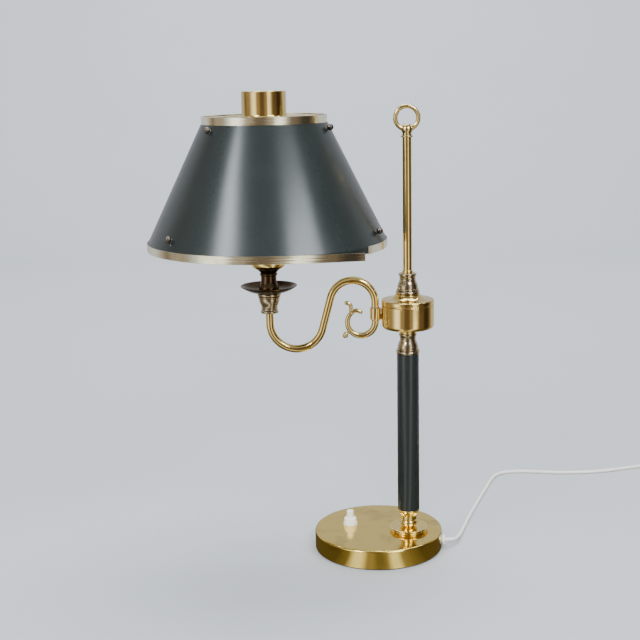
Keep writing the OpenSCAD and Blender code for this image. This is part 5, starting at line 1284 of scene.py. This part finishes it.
class LAMP_OT_trims(bpy.types.Operator):
    """Rolls the ribbed trim bands round the shade's edges; the lower one has come loose at its end"""
    bl_idname = "lamp.trims"
    bl_label = "Trim bands"

    def execute(self, context):
        drop, loose_from, loose, gap = 6 * MM, 2.0, 50.0, 3.0
        tight = 360 - loose - gap
        places = [(loose_from - tight * (1 - i / 180), 0.0) for i in range(181)]
        places += [(loose_from + loose * i / 40, drop * (i / 40) ** 2) for i in range(1, 41)]
        self.band("lower_trim", SHADE_R0 + 0.1 * MM, SHADE_LOW - 0.8 * MM, 1, places)
        lip_z = SHADE_HIGH + 1.2 * MM
        r = SHADE_R1 + (SHADE_HIGH + BAND_H - lip_z) * SHADE_SLOPE + 0.1 * MM
        seam_at, slit = 84.0, 0.7
        places = [(seam_at + slit + (360 - slit) * i / 180, 0.0) for i in range(181)]
        self.band("upper_trim", r, lip_z, -1, places)
        return {"FINISHED"}

    def band(self, node, r, lip_z, up, places):
        """Sweeps the band's section; up is 1 where the lip is below and -1 where it is above."""
        rib = bpy.context.scene.lamp_sizes.band_rib
        lip, edge, face, ribs = 2.4 * MM, 0.15 * MM, [], 48
        for k in range(ribs + 1):
            t = k / ribs
            inset = rib * (0.5 + 0.5 * math.cos(2 * math.pi * 3 * t)) if 0.12 < t < 0.88 else 0.0
            face.append((BAND_T - inset, t * BAND_H))
        face[0], face[-1] = (BAND_T - edge, 0.0), (BAND_T - edge, BAND_H)
        section = [(-lip, 0.0), *face, (0.0, BAND_H), (0.0, BAND_T), (-lip, BAND_T)]
        form = bmesh.new()
        rows = []
        for turn, hang in places:
            rows.append([form.verts.new(round_shade(turn, r + a + hang * 0.1, lip_z + up * b - hang))
                         for a, b in section])
        uv = form.loops.layers.uv.new(TURNING)
        count = len(section)
        for i, (row, after) in enumerate(zip(rows, rows[1:])):
            for k in range(count):
                j = (k + 1) % count
                made = form.faces.new((row[k], after[k], after[j], row[j]))
                for loop, v in zip(made.loops, (k, k, k + 1, k + 1)):
                    loop[uv].uv = (i / len(rows), v * BAND_H / ribs)
        form.faces.new(rows[0])
        form.faces.new(rows[-1])
        mesh = mesh_of(form, node)
        piece(f"{node}_piece", finish_mesh(mesh, 40), node, "arm", "pale_brass")


class LAMP_OT_knobs(bpy.types.Operator):
    """Stands the ball-headed knobs on the shade, with a nut on each screw inside"""
    bl_idname = "lamp.knobs"
    bl_label = "Knobs and nuts"

    def execute(self, context):
        sizes = context.scene.lamp_sizes
        low, high = SHADE_LOW + 18 * MM, SHADE_HIGH - 13.7 * MM
        ball, neck, stand = 3.6, 2.0, sizes.knob_neck / MM
        screw, deep = 1.5, 6
        head = [(0, -deep), (screw - 0.3, -deep), (screw, 0.3 - deep), (screw, 0.1), (neck + 0.3, 0.1),
                (neck + 0.3, 0.5), (neck, 0.8), (neck * 0.8, stand + 0.2),
                *arc((0, stand + 0.9 * ball), ball, -64, 90, 22)]
        head[-1] = (0, stand + 1.9 * ball)
        flats, thick, gap = 5.5, 2.4, 0.2
        backing = {low: SHEET_T / MM + gap + 1.5, high: SHEET_T / MM + gap + 1.0}
        knobs, nuts = [], []
        for turn in KNOB_TURNS:
            for z, behind in backing.items():
                spot, way = round_shade(turn, cone_r(z), z), out_of_shade(turn)
                knobs.append((spot, way))
                nuts.append((spot - way * (behind + thick) * MM, way))
        shape = turned_mesh("knob", eased(head, 0.1), (0, 0, 0), 40)
        mesh = self.repeated(shape, knobs, "knob_bronze")
        piece("knobs_piece", mesh, "shade_knobs", "arm", "dark_bronze", "knob_bronze")
        mesh = self.repeated(self.nut(flats, thick, screw), nuts, "steel")
        piece("nuts_piece", mesh, "knob_nuts", "arm", "steel")
        return {"FINISHED"}

    def repeated(self, mesh, places, look):
        """One mesh of the piece at all its places."""
        pattern = placed(bpy.data.objects.new("pattern", mesh))
        made = shaped(posts_object("posts", places), "posts", look, Piece=pattern)
        bpy.data.objects.remove(pattern)
        return made

    def nut(self, flats, thick, hole):
        """A hexagon nut with chamfered corners, standing on the origin."""
        side, steps = math.radians(60), 8
        turns = [side * k / steps for k in range(6 * steps)]
        half, ease = flats / 2 * MM, 0.25
        # how far out the hexagon's side lies at each turn
        reach = [half / math.cos(side * (k % steps) / steps - side / 2) for k in range(6 * steps)]
        levels = [(z, [r * grow for r in reach])
                  for z, grow in ((0, 0.9), (ease, 1.0), (thick - ease, 1.0), (thick, 0.9))]
        levels += [(z, [hole * MM] * len(turns)) for z in (thick, 0)]
        form = bmesh.new()
        rows = [[form.verts.new((r * math.cos(a), r * math.sin(a), z * MM)) for a, r in zip(turns, radii)]
                for z, radii in levels]
        bridge(form, rows + rows[:1])
        return finish_mesh(mesh_of(form, "nut"), 25)


class LAMP_OT_inner_parts(bpy.types.Operator):
    """Gives the pieces inside the base, the stem and the hinge their finishes"""
    bl_idname = "lamp.inner_parts"
    bl_label = "Inner parts"

    def execute(self, context):
        dress("iron", "base_weight")
        dress("felt", "felt_pad")
        dress("ivory_plastic", "switch_body", "cord_clamp", "wire_splices")
        dress("cord_sheath", "inner_cord", "column_lead", "bracket_lead", "arm_lead")
        dress("steel", "clamp_screws", "tie_tube", "tie_nut", "tie_washer", "bracket_nut", "hinge_pin")
        dress("antique_brass", "hinge_washer")
        return {"FINISHED"}


# Painted reflections: the tones that polished metal mirrors in place of a room round the lamp, and of the
# ground close to it, glowing for mirrored rays only; tones above 1 are painted highlights where soft boxes
# would show.
# The tones' colours, and where each one lies round the lamp, in degrees from the front to the right
DARK, BROWN, TAN, WALL, LAMP = (
    (0.05, 0.04, 0.03), (0.17, 0.125, 0.09), (0.42, 0.35, 0.28), (0.74, 0.76, 0.80), (2.1, 2.1, 2.05))
OLIVE, MOSS, SAND, SHEEN_HIGHLIGHT = (0.12, 0.10, 0.05), (0.25, 0.22, 0.12), (0.40, 0.36, 0.26), (1.5, 1.5, 1.45)
TONES = {
    "Room": [
        (-180, WALL), (-125, WALL), (-112, TAN), (-104, BROWN), (-97, TAN), (-78, TAN), (-68, WALL),
        (-56, LAMP), (-43, LAMP), (-33, TAN), (-22, TAN), (-14, BROWN), (2, BROWN), (10, TAN), (18, TAN),
        (25, LAMP), (33, LAMP), (44, TAN), (52, BROWN), (66, BROWN), (76, DARK), (92, DARK), (101, BROWN),
        (112, TAN), (120, WALL), (150, WALL), (180, WALL)],
    "Ground": [
        (-180, OLIVE), (-64, OLIVE), (-47, MOSS), (-37, SHEEN_HIGHLIGHT), (-28, SHEEN_HIGHLIGHT), (-19, SAND), (-12, SAND),
        (-5, MOSS), (2, MOSS), (9, SAND), (16, SHEEN_HIGHLIGHT), (23, SHEEN_HIGHLIGHT), (31, SAND), (45, MOSS), (62, OLIVE),
        (180, OLIVE)],
}


def tones(tree, name, way):
    """One of the sets of tones, by the direction round the lamp."""
    group = bpy.data.node_groups.get(name) or tones_group(name)
    return put(tree, "ShaderNodeGroup", {"Way": way}, node_tree=group).outputs[0]


def tones_group(name):
    """Makes the node group of a set of tones."""
    around = TONES[name]
    sockets = [("Way", "NodeSocketVector", None)], [("Color", "NodeSocketColor")]
    tree = node_tree(name, "ShaderNodeTree", *sockets)
    start = put(tree, "NodeGroupInput")
    way = put(tree, "ShaderNodeSeparateXYZ", {0: start.outputs["Way"]})
    turn = calc(tree, "ARCTAN2", way.outputs["X"], calc(tree, "MULTIPLY", way.outputs["Y"], -1.0))
    ramp = put(tree, "ShaderNodeValToRGB", {0: ranged(tree, turn, -math.pi, math.pi)})
    stops = ramp.color_ramp.elements
    for turn_at, _ in around[1:-1]:
        stops.new(turn_at / 360 + 0.5)
    for stop, (turn_at, tone) in zip(stops, around):
        stop.position, stop.color = turn_at / 360 + 0.5, (*tone, 1.0)
    put(tree, "NodeGroupOutput", {"Color": ramp.outputs[0]})
    return tree


def mirrored_else(tree, seen, mirrored):
    """One shader where it is seen, and the other where polished metal mirrors it."""
    ray = put(tree, "ShaderNodeLightPath")
    inputs = {0: ray.outputs["Is Glossy Ray"], 1: seen, 2: mirrored}
    return put(tree, "ShaderNodeMixShader", inputs).outputs[0]


# how brightly the painted reflections glow
MIRRORED = 0.9      # how bright the tones are in what polished metal mirrors


class LAMP_OT_stage(bpy.types.Operator):
    """Sets the pale floor with its sweep and painted reflections, the soft boxes, the wall's light and the
    sky
    """
    bl_idname = "lamp.stage"
    bl_label = "Stage"

    def execute(self, context):
        aim = (LIGHT.x, LIGHT.y, 0.40)
        self.box_light("Left soft box", (-0.77, -0.78, 1.11), aim, 0.58, 0.22, 10, -40)
        self.box_light("Right soft box", (0.53, -0.79, 1.10), aim, 0.60, 0.24, 9)
        front = self.box_light("Front fill", (-0.10, -2.70, 1.55), aim, 1.2, 1.0, 75)
        front.visible_glossy = False
        self.box_light("Top light", (0.0, 0.5, 2.4), (0.0, 0.1, 0.2), 1.6, 1.2, 38)
        self.box_light("Wall light", (0.0, 1.4, 3.0), (0.0, 3.8, 1.0), 4.0, 0.8, 172)
        self.floor()
        self.sky(context.scene)
        return {"FINISHED"}

    def floor(self):
        """A wide floor that sweeps up far behind the lamp."""
        across, start, sweep, high = 7.0, 2.2, 1.6, 4.5
        turns = [math.radians(a) for a in range(5, 91, 5)]
        section = [(-6.0, 0.0), (-2.0, 0.0), (0.0, 0.0), (start, 0.0)]
        section += [(start + sweep * math.sin(a), sweep - sweep * math.cos(a)) for a in turns]
        section += [(start + sweep, high)]
        form = bmesh.new()
        left, right = ([form.verts.new((x, y, z)) for y, z in section] for x in (-across, across))
        for k in range(len(section) - 1):
            form.faces.new((left[k], right[k], right[k + 1], left[k + 1]))
        mesh = bpy.data.meshes.new("floor")
        form.to_mesh(mesh)
        form.free()
        mesh.shade_smooth()
        mesh.materials.append(self.floor_with_painted_reflections())
        placed(bpy.data.objects.new("floor", mesh))

    def floor_with_painted_reflections(self):
        """Pale paint; mirrored rays see it glow with painted reflections, the room's tones and the ground's
        close to the lamp.
        """
        made, tree, shader = new_material("Pale floor with painted reflections")
        place = here(tree)
        grain = noise(tree, place, 3.0, 3.0)
        base = blended(tree, grain, (0.46, 0.468, 0.482, 1.0), (0.49, 0.498, 0.508, 1.0))
        fill(tree, shader, {"Base Color": base, "Roughness": 0.7})
        inputs = {0: place, 1: (0.0, -0.02, 0.0)}
        around = put(tree, "ShaderNodeVectorMath", inputs, operation="SUBTRACT").outputs[0]
        away = put(tree, "ShaderNodeVectorMath", {0: around}, operation="LENGTH").outputs["Value"]
        close = ranged(tree, away, 0.9, 0.25)
        ground = blended(tree, close, tones(tree, "Room", around), tones(tree, "Ground", around))
        # painted reflection: for mirrored rays the floor glows with the tones instead of showing its paint
        mirrored = put(tree, "ShaderNodeEmission", {"Color": ground, "Strength": MIRRORED})
        end = next(node for node in tree.nodes if node.type == "OUTPUT_MATERIAL")
        fill(tree, end, {"Surface": mirrored_else(tree, shader.outputs[0], mirrored.outputs[0])})
        return made

    def box_light(self, name, place, aim, wide, tall, power, roll=0):
        """A soft box that faces the aim; roll tips it about the way that it faces, in degrees."""
        data = bpy.data.lights.new(name, "AREA")
        data.shape, data.size, data.size_y, data.energy = "RECTANGLE", wide, tall, power
        light = placed(bpy.data.objects.new(name, data))
        light.location = place
        facing = (Vector(aim) - Vector(place)).to_track_quat("-Z", "Y")
        light.rotation_euler = (facing.to_matrix() @ Matrix.Rotation(math.radians(roll), 3, "Z")).to_euler()
        light.visible_camera = False
        data.color = (0.88, 0.95, 1.0)
        return light

    def sky(self, scene):
        """Pale to the eye; for what the brass mirrors, painted reflections of the room's tones, with grey
        high overhead.
        """
        world = bpy.data.worlds.new("Studio")
        world.use_nodes = True
        tree = world.node_tree
        tree.nodes.clear()
        way = put(tree, "ShaderNodeTexCoord").outputs["Generated"]
        up = put(tree, "ShaderNodeSeparateXYZ", {0: way}).outputs["Z"]
        tone = blended(tree, ranged(tree, up, 0.35, 0.8), tones(tree, "Room", way), (0.32, 0.31, 0.30, 1))
        # painted reflection: mirrored rays see the world glow with the room's tones
        mirrored = put(tree, "ShaderNodeBackground", {"Color": tone, "Strength": MIRRORED})
        seen = put(tree, "ShaderNodeBackground", {"Color": (0.62, 0.64, 0.68, 1.0), "Strength": 1.15})
        both = mirrored_else(tree, seen.outputs[0], mirrored.outputs[0])
        put(tree, "ShaderNodeOutputWorld", {"Surface": both})
        scene.world = world


class LAMP_PT_panel(bpy.types.Panel):
    """Lists the lamp's operators, sizes and finishes in the sidebar"""
    bl_idname = "LAMP_PT_panel"
    bl_label = "Bouillotte lamp"
    bl_space_type = "VIEW_3D"
    bl_region_type = "UI"
    bl_category = "Lamp"

    def draw(self, context):
        for group in (context.scene.lamp_sizes, context.scene.lamp_finishes):
            box = self.layout.box()
            for key in group.bl_rna.properties.keys():
                if key not in ("rna_type", "name"):
                    box.prop(group, key)
        for step in STEPS:
            self.layout.operator(step.bl_idname)


STEPS = (
    LAMP_OT_camera, LAMP_OT_supply_cord, LAMP_OT_base, LAMP_OT_switch, LAMP_OT_column, LAMP_OT_drum,
    LAMP_OT_rod, LAMP_OT_arm, LAMP_OT_candle, LAMP_OT_holder, LAMP_OT_bulb, LAMP_OT_shade, LAMP_OT_trims,
    LAMP_OT_knobs, LAMP_OT_inner_parts, LAMP_OT_stage,
)
CLASSES = (LampSizes, LampFinishes, *STEPS, LAMP_PT_panel)


def register():
    for item in CLASSES:
        bpy.utils.register_class(item)
    bpy.types.Scene.lamp_sizes = bpy.props.PointerProperty(type=LampSizes)
    bpy.types.Scene.lamp_finishes = bpy.props.PointerProperty(type=LampFinishes)


def unregister():
    del bpy.types.Scene.lamp_finishes
    del bpy.types.Scene.lamp_sizes
    for item in reversed(CLASSES):
        bpy.utils.unregister_class(item)


def main():
    register()
    for step in STEPS:
        group, name = step.bl_idname.split(".")
        getattr(getattr(bpy.ops, group), name)()


if __name__ == "__main__":
    main()
